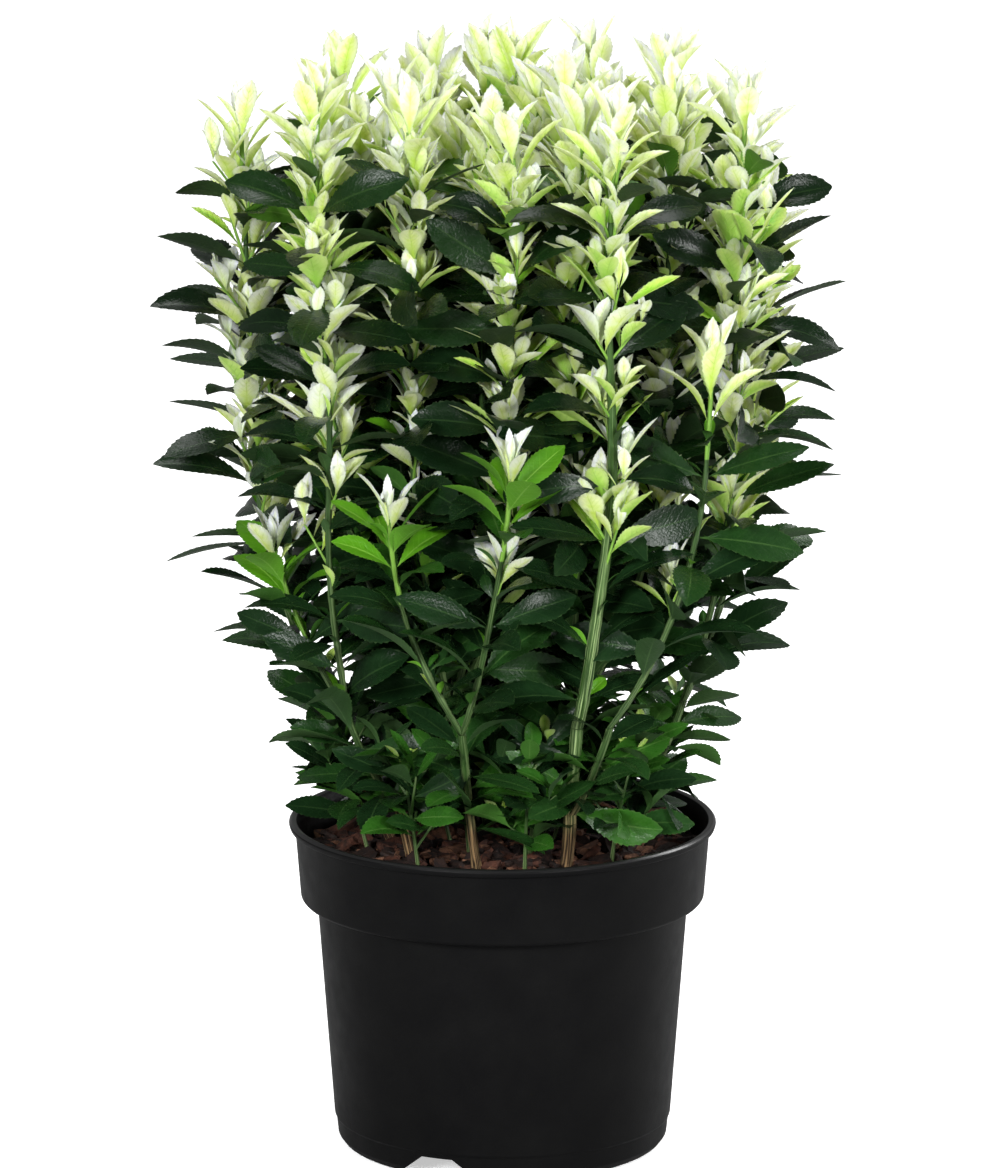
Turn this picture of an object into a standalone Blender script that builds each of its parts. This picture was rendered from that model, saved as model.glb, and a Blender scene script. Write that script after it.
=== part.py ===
"""Euonymus shrub in a round nursery pot, at its real size.

Metres, +Z up. The origin is on the pot's axis, on the ground under its foot ring. The shrub is a clump of
eight stems that stand in a ring in the bark mulch. Every second stem forks low into an edge bough and a
heart bough, and the others rise unforked. Each edge bough or unforked stem carries a mass of foliage on
one eighth of the crown's rim, and each heart bough carries one quarter of its heart. Low sprays between
the stems fill the foot of the clump.
"""

import math
import random

import bmesh
import bpy
from mathutils import Matrix, Vector
from mathutils.bvhtree import BVHTree

# Gap kept between two pieces that meet
GAP = 0.0003

# Pot: a thin-walled tub with a wide band under its lip
POT_HEIGHT = 0.148
POT_SIDES = 48
WALL = 0.0017
RIM_RADIUS = 0.0951
BAND_TOP_RADIUS = 0.0922
BAND_FOOT_RADIUS = 0.0898
BAND_HEIGHT = 0.0360
BODY_TOP_RADIUS = 0.0826
BODY_FOOT_RADIUS = 0.0750
LIP_HEIGHT = 0.0042
FOOT_STEP_HEIGHT = 0.0125
FOOT_RADIUS = 0.0688
FOOT_RING = 0.0026
BASE_PLATE_HEIGHT = 0.0105
NOTCHES = 3
FIRST_NOTCH_AZIMUTH = math.radians(247)
NOTCH_FOOT_WIDTH = 0.027
NOTCH_TOP_WIDTH = 0.016
DRAIN_HOLES = 6
DRAIN_RADIUS = 0.0055
DRAIN_RING_RADIUS = 0.045

# Mulch: the bark layer over the root ball
MULCH_HEIGHT = 0.136
MULCH_FLAT_RADIUS = 0.074
LUMP_RADIUS = 0.081

# Clump: one stem to each eighth of the circle
SECTORS = 8
SECTOR = 2 * math.pi / SECTORS
FIRST_AZIMUTH = math.radians(214)
AZIMUTH_PLAY = 0.05
STEM_FOOT_RADIUS = 0.047
STEM_THICKNESS = 0.0031
FOOT_FLARE = 1.5
FORK_RADIUS = 0.056
FORK_HEIGHT = 0.166
FORK_THICKNESS = 0.0046
BOUGH_THICKNESS = 0.0022
LIMB_TOP_HEIGHT = 0.204
LIMB_BOW = 0.0020
EDGE_TIP_RADIUS = 0.081
HEART_TIP_RADIUS = 0.040

# Crown: where the shoots stand once they have settled upright, and how high their top leaves reach
EDGE_RADIUS = 0.107
LOW_RADIUS = 0.115
LOW_LIMIT = 0.42
EDGE_TURN = 0.20
HEART_SHOOTS = (
    (0.028, 0),
    (0.054, -24),
    (0.056, 26),
    (0.077, -35),
    (0.078, 2),
    (0.077, 36),
)
SETTLING = 0.10
FLARE = 0.035
TALL_TOP = 0.486
TALL_SPREAD = 0.018
TIP_RISE = 0.031
WAVE = 0.0018
WAVES_PER_METRE = 6

# Tops of the edge shoots, two to a sector, round the ring from the front left
EDGE_TOPS = (
    (0.306, 0.505),
    (0.332, 0.354),
    (0.498, 0.391),
    (0.501, 0.447),
    (0.484, 0.398),
    (0.356, 0.490),
    (0.482, 0.372),
    (0.441, 0.485),
)

# Wall between heart and edge: height above the ground, and distance from the axis
WALL_LINE = ((0.200, 0.070), (0.290, 0.0875), (0.520, 0.0955))

# Outline of the crown: height above the ground, and how far a leaf tip may reach from the axis
REACH_LINE = (
    (0.150, 0.098),
    (0.185, 0.110),
    (0.225, 0.130),
    (0.250, 0.147),
    (0.270, 0.155),
    (0.400, 0.155),
    (0.440, 0.147),
    (0.520, 0.128),
)

# Leaves, larger than life because the solids have about a quarter of the plant's leaves
LEAF_LENGTH = 0.054
LEAF_WIDTH = 0.0250
TIP_LEAF_LENGTH = 0.041
TIP_LEAF_WIDTH = 0.0185
TIP_PAIRS = 3
TIP_SPACING = 0.013
LEAF_THICKNESS = 0.030
LEAF_ARCH = 0.10
WIDEST_POINT = 0.46
THICKEST_POINT = 0.24
ROOT_DEPTH = 0.0001
LOWEST_LIFT, HIGHEST_LIFT = -26, 14
LEAST_ROLL, MOST_ROLL = 18, 44
SIZES_TRIED = (1.0, 0.86, 0.72)
LIFTS_TRIED = (0, 14, 28)
TURNS_TRIED = (0, -20, 20, -38, 38)
EDGE_FIRST, EDGE_SPACING = 0.214, 0.022
HEART_FIRST, HEART_SPACING = 0.224, 0.044
TWIG_THICKNESS = 0.0022
TWIG_TIP_THICKNESS = 0.0013
QUARTER_TURN = math.pi / 2
FLAT_ENOUGH = math.radians(1)

# Low sprays: short twigs with leaves that stay above the lip and under the masses
LOW_SPRAY_RADIUS = 0.066
LOW_SPRAY_TIP_RADIUS = 0.076
LOW_SPRAY_FLOOR = 0.150
LOW_SPRAY_TOP = 0.2035
LOW_PAIRS = 4
LOW_LEAF_LENGTH = 0.041
LOW_LEAF_WIDTH = 0.0190
STEM_CLEARANCE = 0.0078
HEART_BOUGH_CLEARANCE = 0.0565

# Colours and finish: red, green, blue, then roughness
FINISHES = {
    "pot_plastic": (0.012, 0.012, 0.013, 0.45),
    "mulch_bark": (0.036, 0.016, 0.010, 0.95),
    "stem_bark": (0.125, 0.115, 0.045, 0.80),
    "leaf_dark": (0.014, 0.045, 0.012, 0.35),
    "leaf_pale": (0.560, 0.700, 0.230, 0.50),
}


def finish(name):
    """The named material, made the first time it is asked for."""
    material = bpy.data.materials.get(name)
    if material is None:
        material = bpy.data.materials.new(name)
        material.use_nodes = True
        shader = material.node_tree.nodes["Principled BSDF"]
        red, green, blue, roughness = FINISHES[name]
        shader.inputs["Base Color"].default_value = (red, green, blue, 1)
        shader.inputs["Roughness"].default_value = roughness
        shader.inputs["Metallic"].default_value = 0
    return material


def piece(name, shape, finish_name, collection=None):
    """A new object from a bmesh, which is freed."""
    mesh = bpy.data.meshes.new(name)
    shape.to_mesh(mesh)
    shape.free()
    mesh.materials.append(finish(finish_name))
    made = bpy.data.objects.new(name, mesh)
    (collection or bpy.context.scene.collection).objects.link(made)
    return made


def around(azimuth, radius, height=0.0):
    return Vector((radius * math.cos(azimuth), radius * math.sin(azimuth), height))


def along(line, x):
    """The value at x on a line given as (x, value) pairs."""
    for (x0, v0), (x1, v1) in zip(line, line[1:]):
        if x <= x1:
            return v0 + (v1 - v0) * max(0.0, (x - x0) / (x1 - x0))
    return line[-1][1]


# Pot and mulch


def turned(profile, sides):
    """An open (radius, height) profile that starts and ends on the Z axis, turned about it."""
    shape = bmesh.new()
    corners = [shape.verts.new((radius, 0, height)) for radius, height in profile]
    edges = [shape.edges.new(pair) for pair in zip(corners, corners[1:])]
    bmesh.ops.spin(
        shape,
        geom=corners + edges,
        cent=(0, 0, 0),
        axis=(0, 0, 1),
        angle=2 * math.pi,
        steps=sides,
        use_merge=True,
    )
    bmesh.ops.remove_doubles(shape, verts=shape.verts, dist=1e-6)
    bmesh.ops.recalc_face_normals(shape, faces=shape.faces)
    return shape


def inner_wall(gap):
    """The pot's inside from the band down to the base plate, drawn in by a gap."""
    shoulder = POT_HEIGHT - BAND_HEIGHT
    return [
        (BAND_FOOT_RADIUS - WALL - gap, shoulder + 0.0020 + gap),
        (BODY_TOP_RADIUS - WALL - gap, shoulder - 0.0020 + gap),
        (BODY_FOOT_RADIUS - WALL - gap, BASE_PLATE_HEIGHT + WALL + 0.0020 + gap),
        (BODY_FOOT_RADIUS - WALL - 0.0020 - gap, BASE_PLATE_HEIGHT + WALL + gap),
    ]


def pot_profile():
    """Outside from under the base plate up to the lip, then inside back down to the plate."""
    band_foot = POT_HEIGHT - BAND_HEIGHT
    lip_foot = POT_HEIGHT - LIP_HEIGHT
    return [
        (0, BASE_PLATE_HEIGHT),
        (FOOT_RADIUS - FOOT_RING, BASE_PLATE_HEIGHT),
        (FOOT_RADIUS - FOOT_RING, 0),
        (FOOT_RADIUS, 0),
        (FOOT_RADIUS + 0.0026, 0.0010),
        (FOOT_RADIUS + 0.0048, 0.0040),
        (BODY_FOOT_RADIUS - 0.0004, FOOT_STEP_HEIGHT - 0.0006),
        (BODY_FOOT_RADIUS + 0.0002, FOOT_STEP_HEIGHT + 0.0004),
        (BODY_TOP_RADIUS, band_foot),
        (BAND_FOOT_RADIUS - 0.0010, band_foot),
        (BAND_FOOT_RADIUS, band_foot + 0.0012),
        (BAND_TOP_RADIUS, lip_foot),
        (RIM_RADIUS - 0.0004, lip_foot + 0.0006),
        (RIM_RADIUS, POT_HEIGHT - 0.0014),
        (RIM_RADIUS - 0.0014, POT_HEIGHT),
        (RIM_RADIUS - 0.0036, POT_HEIGHT - 0.0006),
        (BAND_TOP_RADIUS - WALL, lip_foot),
        *inner_wall(0),
        (0, BASE_PLATE_HEIGHT + WALL),
    ]


def cutter(name, shape):
    made = piece(name, shape, "pot_plastic")
    made.hide_render = True
    made.display_type = "WIRE"
    return made


def notch_cutter(index):
    """A wedge through the foot ring, wider at the ground."""
    shape = bmesh.new()
    bmesh.ops.create_cube(shape, size=1)
    azimuth = FIRST_NOTCH_AZIMUTH + index * 2 * math.pi / NOTCHES
    for corner in shape.verts:
        width = NOTCH_TOP_WIDTH if corner.co.z > 0 else NOTCH_FOOT_WIDTH
        height = BASE_PLATE_HEIGHT - GAP if corner.co.z > 0 else -0.002
        corner.co = Vector((FOOT_RADIUS + corner.co.x * 0.02, corner.co.y * width, height))
    bmesh.ops.rotate(shape, verts=shape.verts, matrix=Matrix.Rotation(azimuth, 3, "Z"))
    return cutter(f"notch_cutter_{index + 1}", shape)


def drain_cutter(index):
    shape = bmesh.new()
    bmesh.ops.create_cone(
        shape,
        cap_ends=True,
        segments=8,
        radius1=DRAIN_RADIUS,
        radius2=DRAIN_RADIUS,
        depth=4 * WALL,
    )
    place = around((index + 0.5) * 2 * math.pi / DRAIN_HOLES, DRAIN_RING_RADIUS, BASE_PLATE_HEIGHT)
    bmesh.ops.translate(shape, verts=shape.verts, vec=place)
    return cutter(f"drain_cutter_{index + 1}", shape)


def make_pot():
    pot = piece("pot", turned(pot_profile(), POT_SIDES), "pot_plastic")
    cutters = [notch_cutter(i) for i in range(NOTCHES)] + [drain_cutter(i) for i in range(DRAIN_HOLES)]
    for tool in cutters:
        cut = pot.modifiers.new(tool.name, "BOOLEAN")
        cut.operation = "DIFFERENCE"
        cut.object = tool
    pot.data.shade_smooth()
    pot.data.set_sharp_from_angle(angle=math.radians(35))


def make_mulch():
    """The root ball under its layer of bark: it fills the pot, with a low lumpy ring near the wall."""
    gap = GAP + 0.0001
    inside = inner_wall(gap)
    lip_inside = (POT_HEIGHT - LIP_HEIGHT, BAND_TOP_RADIUS - WALL - gap)
    profile = [
        (0, MULCH_HEIGHT),
        (MULCH_FLAT_RADIUS, MULCH_HEIGHT),
        (LUMP_RADIUS, MULCH_HEIGHT + 0.0015),
        (along((inside[0][::-1], lip_inside), MULCH_HEIGHT), MULCH_HEIGHT - 0.0020),
        *inside,
        (0, BASE_PLATE_HEIGHT + WALL + gap),
    ]
    shape = turned(profile, POT_SIDES)
    dice = random.Random("mulch")
    for corner in shape.verts:
        on_ring = abs(corner.co.xy.length - LUMP_RADIUS) < 1e-4
        if on_ring and corner.co.z > MULCH_HEIGHT:
            corner.co.z += dice.uniform(-0.0018, 0.0026)
    piece("bark_mulch", shape, "mulch_bark")


# Stems and boughs


def tube(path, thicknesses, sides):
    """A limb through the points of path, cut level at each of them, closed at both ends."""
    shape = bmesh.new()
    edges = []
    for i, (place, thick) in enumerate(zip(path, thicknesses)):
        at_an_end = i in (0, len(path) - 1)
        ring = bmesh.ops.create_circle(shape, cap_ends=at_an_end, segments=sides, radius=thick)["verts"]
        bmesh.ops.translate(shape, verts=ring, vec=place)
        ring_edges = list({edge for corner in ring for edge in corner.link_edges})
        if edges:
            bmesh.ops.bridge_loops(shape, edges=edges + ring_edges)
        edges = ring_edges
    bmesh.ops.recalc_face_normals(shape, faces=shape.faces)
    return shape


def limb(name, foot, tip, bow, thicknesses):
    """A tapering limb from foot to tip, bowed by the vector bow, with one thickness to each level."""
    path = []
    for i in range(len(thicknesses)):
        share = i / (len(thicknesses) - 1)
        path.append(foot.lerp(tip, share) + bow * 4 * share * (1 - share))
    piece(name, tube(path, thicknesses, 7), "stem_bark")


def forks(sector):
    return sector % 2 == 0


def stem_azimuth(sector):
    play = random.Random(f"stem {sector}").uniform(-AZIMUTH_PLAY, AZIMUTH_PLAY)
    return FIRST_AZIMUTH + sector * SECTOR + play


def quarter_azimuth(quarter):
    """Middle of the quarter that sectors 2 * quarter and 2 * quarter + 1 share."""
    return FIRST_AZIMUTH + (2 * quarter + 0.5) * SECTOR


def edge_tip(sector):
    return around(stem_azimuth(sector), EDGE_TIP_RADIUS, LIMB_TOP_HEIGHT)


def heart_tip(quarter):
    return around(quarter_azimuth(quarter), HEART_TIP_RADIUS, LIMB_TOP_HEIGHT)


def make_stem(sector):
    azimuth = stem_azimuth(sector)
    dice = random.Random(f"stem bow {sector}")
    foot = around(azimuth, STEM_FOOT_RADIUS, MULCH_HEIGHT + GAP)
    sideways = around(azimuth + QUARTER_TURN, dice.uniform(-0.0012, 0.0012))
    thick = STEM_THICKNESS
    if forks(sector):
        tip = around(azimuth, FORK_RADIUS, FORK_HEIGHT)
        limb(f"stem_{sector + 1}", foot, tip, sideways, [thick * FOOT_FLARE, thick * 1.1, FORK_THICKNESS])
    else:
        bow = sideways + around(azimuth, LIMB_BOW)
        taper = [thick * FOOT_FLARE, thick * 1.1, thick, thick * 0.9, thick * 0.8]
        limb(f"stem_{sector + 1}", foot, edge_tip(sector), bow, taper)


def make_boughs(sector):
    """The two boughs that stand side by side on a fork: one to the rim of the crown, one to its heart."""
    azimuth = stem_azimuth(sector)
    fork = around(azimuth, FORK_RADIUS, FORK_HEIGHT + GAP)
    apart = around(azimuth, BOUGH_THICKNESS + GAP / 2)
    taper = [BOUGH_THICKNESS, BOUGH_THICKNESS * 0.94, BOUGH_THICKNESS * 0.88, BOUGH_THICKNESS * 0.82]
    bow = around(azimuth, LIMB_BOW)
    number = sector // 2
    limb(f"edge_bough_{number + 1}", fork + apart, edge_tip(sector), bow, taper)
    limb(f"heart_bough_{number + 1}", fork - apart, heart_tip(number), Vector(), taper)


# Shoots


class Shoot:
    """One upright shoot: it leaves foot, settles at an azimuth and radius, and its top leaves end at top."""

    def __init__(self, foot, azimuth, radius, top, seed):
        dice = random.Random(seed)
        self.foot = foot + Vector((0, 0, GAP))
        self.azimuth = azimuth + dice.uniform(-AZIMUTH_PLAY, AZIMUTH_PLAY)
        self.radius = radius + dice.uniform(-0.003, 0.003)
        self.tip = top - TIP_RISE
        self.wave = dice.uniform(0, 2 * math.pi)
        self.turn = dice.uniform(0, math.pi)
        levels = 5 + int((self.tip - self.foot.z) / 0.1)
        self.shares = [(i / (levels - 1)) ** 1.3 for i in range(levels)]
        self.path = [self.grown(self.foot.z + (self.tip - self.foot.z) * share) for share in self.shares]

    def grown(self, height):
        """Where the shoot has grown to at a height: out quickly, then up with a slight flare and wave."""
        risen = height - self.foot.z
        share = min(1.0, max(0.0, risen / SETTLING))
        settled = share * (2 - share)
        target = around(self.azimuth, self.radius + FLARE * max(0.0, risen - SETTLING))
        wave = WAVE * settled * math.sin(self.wave + WAVES_PER_METRE * 2 * math.pi * height)
        place = Vector((self.foot.x, self.foot.y, 0)).lerp(target, settled)
        return place + around(self.azimuth + QUARTER_TURN, wave, height)

    def at(self, height):
        """Middle of the shoot's twig at a height, on the straight run between two of its levels."""
        for below, above in zip(self.path, self.path[1:]):
            if height <= above.z:
                return below.lerp(above, (height - below.z) / (above.z - below.z))
        return self.path[-1]

    def twig(self):
        """The shoot's own three-sided twig."""
        taper = TWIG_THICKNESS - TWIG_TIP_THICKNESS
        return tube(self.path, [TWIG_THICKNESS - taper * share for share in self.shares], 3)


def edge_shoots(sector):
    shoots = []
    for side, top in zip((-1, 1), EDGE_TOPS[sector]):
        radius = LOW_RADIUS if top < LOW_LIMIT else EDGE_RADIUS
        azimuth = stem_azimuth(sector) + side * EDGE_TURN
        shoots.append(Shoot(edge_tip(sector), azimuth, radius, top, f"edge {sector} {side}"))
    return shoots


def heart_shoots(quarter):
    shoots = []
    for radius, turn in HEART_SHOOTS:
        seed = f"heart {quarter} {turn}"
        top = TALL_TOP + random.Random(seed).uniform(-TALL_SPREAD, TALL_SPREAD)
        azimuth = quarter_azimuth(quarter) + math.radians(turn)
        shoots.append(Shoot(heart_tip(quarter), azimuth, radius, top, seed))
    return shoots


# Space of each mass


def outward(point, azimuth):
    return point.x * math.cos(azimuth) + point.y * math.sin(azimuth)


def in_wedge(point, azimuth, half_angle, clearance):
    """Whether a point is in the wedge about an azimuth, clear of its two flat sides."""
    side = point.y * math.cos(azimuth) - point.x * math.sin(azimuth)
    return outward(point, azimuth) * math.sin(half_angle) - abs(side) * math.cos(half_angle) > clearance


def sector_middle(sector):
    return FIRST_AZIMUTH + sector * SECTOR


def edge_space(sector):
    middle = sector_middle(sector)

    def inside(point):
        beyond_wall = outward(point, middle) > along(WALL_LINE, point.z) + GAP
        within_reach = point.xy.length < along(REACH_LINE, point.z)
        above_limbs = point.z > LIMB_TOP_HEIGHT + GAP
        return in_wedge(point, middle, SECTOR / 2, GAP) and beyond_wall and within_reach and above_limbs

    return inside


def heart_space(quarter):
    middles = [sector_middle(2 * quarter + i) for i in (0, 1)]

    def inside(point):
        within_wall = all(outward(point, m) < along(WALL_LINE, point.z) - GAP for m in middles)
        above_limbs = point.z > LIMB_TOP_HEIGHT + GAP
        return in_wedge(point, quarter_azimuth(quarter), SECTOR, GAP) and within_wall and above_limbs

    return inside


def spray_space(sector):
    """The space between two stems, outside the heart bough that crosses it behind a forking stem."""
    azimuth = sector_middle(sector) + SECTOR / 2
    nearest = HEART_BOUGH_CLEARANCE if forks(sector) else LOW_SPRAY_RADIUS / 2

    def inside(point):
        height_fits = LOW_SPRAY_FLOOR < point.z < LOW_SPRAY_TOP
        within_reach = nearest < outward(point, azimuth) and point.xy.length < along(REACH_LINE, point.z)
        return in_wedge(point, azimuth, SECTOR / 2, STEM_CLEARANCE) and height_fits and within_reach

    return inside


# Foliage


def leaf(root, azimuth, lift, roll, length, width):
    """An eight-faced arched blade from its root, sunk in the twig, to its tip."""
    shape = bmesh.new()
    bmesh.ops.create_uvsphere(shape, u_segments=4, v_segments=2, radius=1)
    for corner in shape.verts:
        x, y, z = corner.co
        if abs(x) > 0.5:
            corner.co = Vector((length, 0, -LEAF_ARCH * length)) if x > 0 else Vector()
        elif abs(y) > 0.5:
            corner.co = Vector((WIDEST_POINT * length, y * width / 2, 0))
        else:
            corner.co = Vector((THICKEST_POINT * length, 0, z * length * LEAF_THICKNESS / 2))
    turn = Matrix.Rotation(azimuth, 3, "Z") @ Matrix.Rotation(-lift, 3, "Y") @ Matrix.Rotation(roll, 3, "X")
    bmesh.ops.rotate(shape, verts=shape.verts, matrix=turn)
    bmesh.ops.translate(shape, verts=shape.verts, vec=root - around(azimuth, ROOT_DEPTH))
    return shape


def fitting_leaf(inside, obstacles, root, azimuth, lift, roll, length, width):
    """A leaf that fits in its space and crosses nothing there, with its own blade as an obstacle.

    It is tried as it is, then lifted, turned or drawn in a little, and left out if none of that helps.
    """
    for size in SIZES_TRIED:
        for turn in TURNS_TRIED:
            for more in LIFTS_TRIED:
                angles = azimuth + math.radians(turn), math.radians(lift + more), math.radians(roll)
                shape = leaf(root, *angles, length * size, width * size)
                beyond_root = [corner.co for corner in shape.verts if (corner.co - root).length > 0.004]
                if all(inside(corner) for corner in beyond_root):
                    blade = BVHTree.FromBMesh(shape)
                    if not any(blade.overlap(obstacle) for obstacle in obstacles):
                        return [(shape, blade)]
                shape.free()
    return []


def place_pair(parts, inside, obstacles, root, poses, length, width):
    """Adds the two opposite leaves of a pair, whose roots meet inside the twig, to parts."""
    pair = []
    for azimuth, lift, roll in poses:
        pair += fitting_leaf(inside, obstacles, root, azimuth, lift, roll, length, width)
    parts += [shape for shape, _ in pair]
    obstacles += [blade for _, blade in pair]


def side_roll(dice):
    """A roll to one side or the other, so that each blade shows some of its face."""
    return dice.choice((-1, 1)) * dice.uniform(LEAST_ROLL, MOST_ROLL)


def shoot_leaves(parts, shoot, inside, obstacles, dice, first, spacing):
    """Opposite pairs, each a quarter turn from the last, and an upright tuft at the tip."""
    for i in range(TIP_PAIRS):
        root = shoot.at(shoot.tip - 0.003 - TIP_SPACING * (TIP_PAIRS - 1 - i))
        poses = []
        for side in (0, math.pi):
            azimuth = shoot.turn + i * QUARTER_TURN + side + dice.uniform(-0.2, 0.2)
            poses.append((azimuth, 48 + 12 * i + dice.uniform(-5, 5), 0))
        length = TIP_LEAF_LENGTH * (1 - 0.08 * i)
        place_pair(parts, inside, obstacles, root, poses, length, TIP_LEAF_WIDTH)
    last = shoot.tip - 1.7 * TIP_SPACING
    for i in range(1, 1 + max(0, int((last - first) / spacing))):
        poses = []
        for side in (0, math.pi):
            azimuth = shoot.turn + i * QUARTER_TURN + side + dice.uniform(-0.25, 0.25)
            poses.append((azimuth, dice.uniform(LOWEST_LIFT, HIGHEST_LIFT), side_roll(dice)))
        length = LEAF_LENGTH * dice.uniform(0.92, 1.04)
        place_pair(parts, inside, obstacles, shoot.at(last - i * spacing), poses, length, LEAF_WIDTH)


def fused(name, shapes, finish_name):
    """One closed body from overlapping shapes: the first is joined with all the others."""
    helpers = bpy.data.collections.new(f"{name} parts")
    bpy.context.scene.collection.children.link(helpers)
    whole = piece(name, shapes[0], finish_name)
    for i, shape in enumerate(shapes[1:]):
        piece(f"{name} part {i + 1}", shape, finish_name, helpers)
    join = whole.modifiers.new("join", "BOOLEAN")
    join.operation = "UNION"
    join.operand_type = "COLLECTION"
    join.collection = helpers
    bpy.context.view_layer.update()
    graph = bpy.context.evaluated_depsgraph_get()
    joined = bpy.data.meshes.new_from_object(whole.evaluated_get(graph), depsgraph=graph)
    whole.modifiers.clear()
    whole.data = joined
    for helper in list(helpers.objects):
        bpy.data.objects.remove(helper)
    bpy.data.collections.remove(helpers)
    keep_largest_body(whole)


def keep_largest_body(whole):
    """Drops loose scraps, and the inner skins of hollows that the joining sealed."""
    shape = bmesh.new()
    shape.from_mesh(whole.data)
    left, bodies = set(shape.faces), []
    while left:
        start = left.pop()
        body, reached = {start}, [start]
        while reached:
            for edge in reached.pop().edges:
                for face in edge.link_faces:
                    if face in left:
                        left.discard(face)
                        body.add(face)
                        reached.append(face)
        bodies.append(body)
    largest = max(bodies, key=len)
    bmesh.ops.delete(shape, geom=[face for face in shape.faces if face not in largest], context="FACES")
    bmesh.ops.dissolve_limit(shape, angle_limit=FLAT_ENOUGH, verts=shape.verts, edges=shape.edges)
    bmesh.ops.triangulate(shape, faces=shape.faces)
    shape.to_mesh(whole.data)
    shape.free()


def make_mass(name, shoots, inside, finish_name, first, spacing):
    """One mass: a short stem that carries its shoots, with their leaves fused on."""
    dice = random.Random(name)
    twigs = [shoot.twig() for shoot in shoots]
    bark = [BVHTree.FromBMesh(twig) for twig in twigs]
    leaves, blades = [], []
    for i, shoot in enumerate(shoots):
        obstacles = bark[:i] + bark[i + 1 :] + blades
        already = len(obstacles)
        shoot_leaves(leaves, shoot, inside, obstacles, dice, first, spacing)
        blades += obstacles[already:]
    fused(name, twigs + leaves, finish_name)


def make_low_spray(sector):
    """A short leafy twig that rises from the mulch between two stems."""
    name = f"low_spray_{sector + 1}"
    dice = random.Random(name)
    azimuth = sector_middle(sector) + SECTOR / 2
    foot = around(azimuth, LOW_SPRAY_RADIUS, MULCH_HEIGHT + GAP)
    tip = around(azimuth, LOW_SPRAY_TIP_RADIUS, LOW_SPRAY_TOP - 0.012)
    shapes = [tube([foot, foot.lerp(tip, 0.5), tip], [0.0020, 0.0018, 0.0015], 3)]
    blades = []
    for i in range(LOW_PAIRS):
        root = foot.lerp(tip, 0.34 + 0.21 * i)
        poses = []
        for side in (0, math.pi):
            turn = azimuth + i * QUARTER_TURN + side + dice.uniform(-0.5, 0.5)
            poses.append((turn, dice.uniform(-5, 30), side_roll(dice)))
        place_pair(shapes, spray_space(sector), blades, root, poses, LOW_LEAF_LENGTH, LOW_LEAF_WIDTH)
    fused(name, shapes, "leaf_dark")


for old in list(bpy.data.objects):
    bpy.data.objects.remove(old)
make_pot()
make_mulch()
for sector in range(SECTORS):
    make_stem(sector)
    if forks(sector):
        make_boughs(sector)
    make_low_spray(sector)
    edge = edge_shoots(sector), edge_space(sector), "leaf_dark", EDGE_FIRST, EDGE_SPACING
    make_mass(f"edge_foliage_{sector + 1}", *edge)
for quarter in range(SECTORS // 2):
    heart = heart_shoots(quarter), heart_space(quarter), "leaf_pale", HEART_FIRST, HEART_SPACING
    make_mass(f"heart_foliage_{quarter + 1}", *heart)
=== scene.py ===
"""Looks of the potted euonymus: a white-tipped evergreen shrub in a round black nursery pot.

Metres, +Z up, -Y towards the camera. The order is that of the plant as it is put together: the pot, the
bark on its root ball, the stems and boughs, the shoots that grow on from them, and the leaves.
"""

import math
import random

import bmesh
import bpy
import numpy as np
from mathutils import Matrix, Vector, noise


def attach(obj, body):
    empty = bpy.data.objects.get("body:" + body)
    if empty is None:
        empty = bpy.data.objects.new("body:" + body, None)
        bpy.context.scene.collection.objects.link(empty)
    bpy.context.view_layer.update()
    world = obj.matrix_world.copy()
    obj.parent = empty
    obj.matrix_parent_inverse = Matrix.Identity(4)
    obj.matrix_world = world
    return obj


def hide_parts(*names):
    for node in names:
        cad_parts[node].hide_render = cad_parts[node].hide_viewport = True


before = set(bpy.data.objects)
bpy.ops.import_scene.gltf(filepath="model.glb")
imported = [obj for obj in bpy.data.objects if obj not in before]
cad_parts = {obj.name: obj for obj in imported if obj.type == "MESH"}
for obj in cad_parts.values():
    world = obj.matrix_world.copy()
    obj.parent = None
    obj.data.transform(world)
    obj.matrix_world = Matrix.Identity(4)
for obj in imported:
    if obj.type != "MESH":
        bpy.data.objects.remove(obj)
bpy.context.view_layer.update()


# Studio. A plain pale floor runs out behind the plant, large soft lamps hang round it, and the camera looks
# a little down on it from three metres away through a long lens.

PHOTO_HEIGHT = 1168
FOCAL_PIXELS = 7000
LOOK_DOWN = math.radians(12.3)
CAMERA_DISTANCE = 3.091
LOOKED_AT = Vector((-0.0011, 0, 0.2537))
FLOOR_RADIUS = 14
SKY_STRENGTH = 0.22

scene = bpy.context.scene
scene.view_settings.view_transform = "Standard"
camera = bpy.data.objects.new("camera", bpy.data.cameras.new("camera"))
camera.data.lens = FOCAL_PIXELS / PHOTO_HEIGHT * camera.data.sensor_width
camera.location = LOOKED_AT + CAMERA_DISTANCE * Vector((0, -math.cos(LOOK_DOWN), math.sin(LOOK_DOWN)))
camera.rotation_euler = (math.pi / 2 - LOOK_DOWN, 0, 0)
scene.collection.objects.link(camera)
scene.camera = camera

scene.world = bpy.data.worlds.new("studio air")
scene.world.use_nodes = True
nodes, links = scene.world.node_tree.nodes, scene.world.node_tree.links
nodes["Background"].inputs["Color"].default_value = (1, 1, 1, 1)
air = nodes.new("ShaderNodeMapRange")
air.inputs["To Min"].default_value = SKY_STRENGTH
links.new(nodes.new("ShaderNodeLightPath").outputs["Is Camera Ray"], air.inputs["Value"])
links.new(air.outputs["Result"], nodes["Background"].inputs["Strength"])


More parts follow.
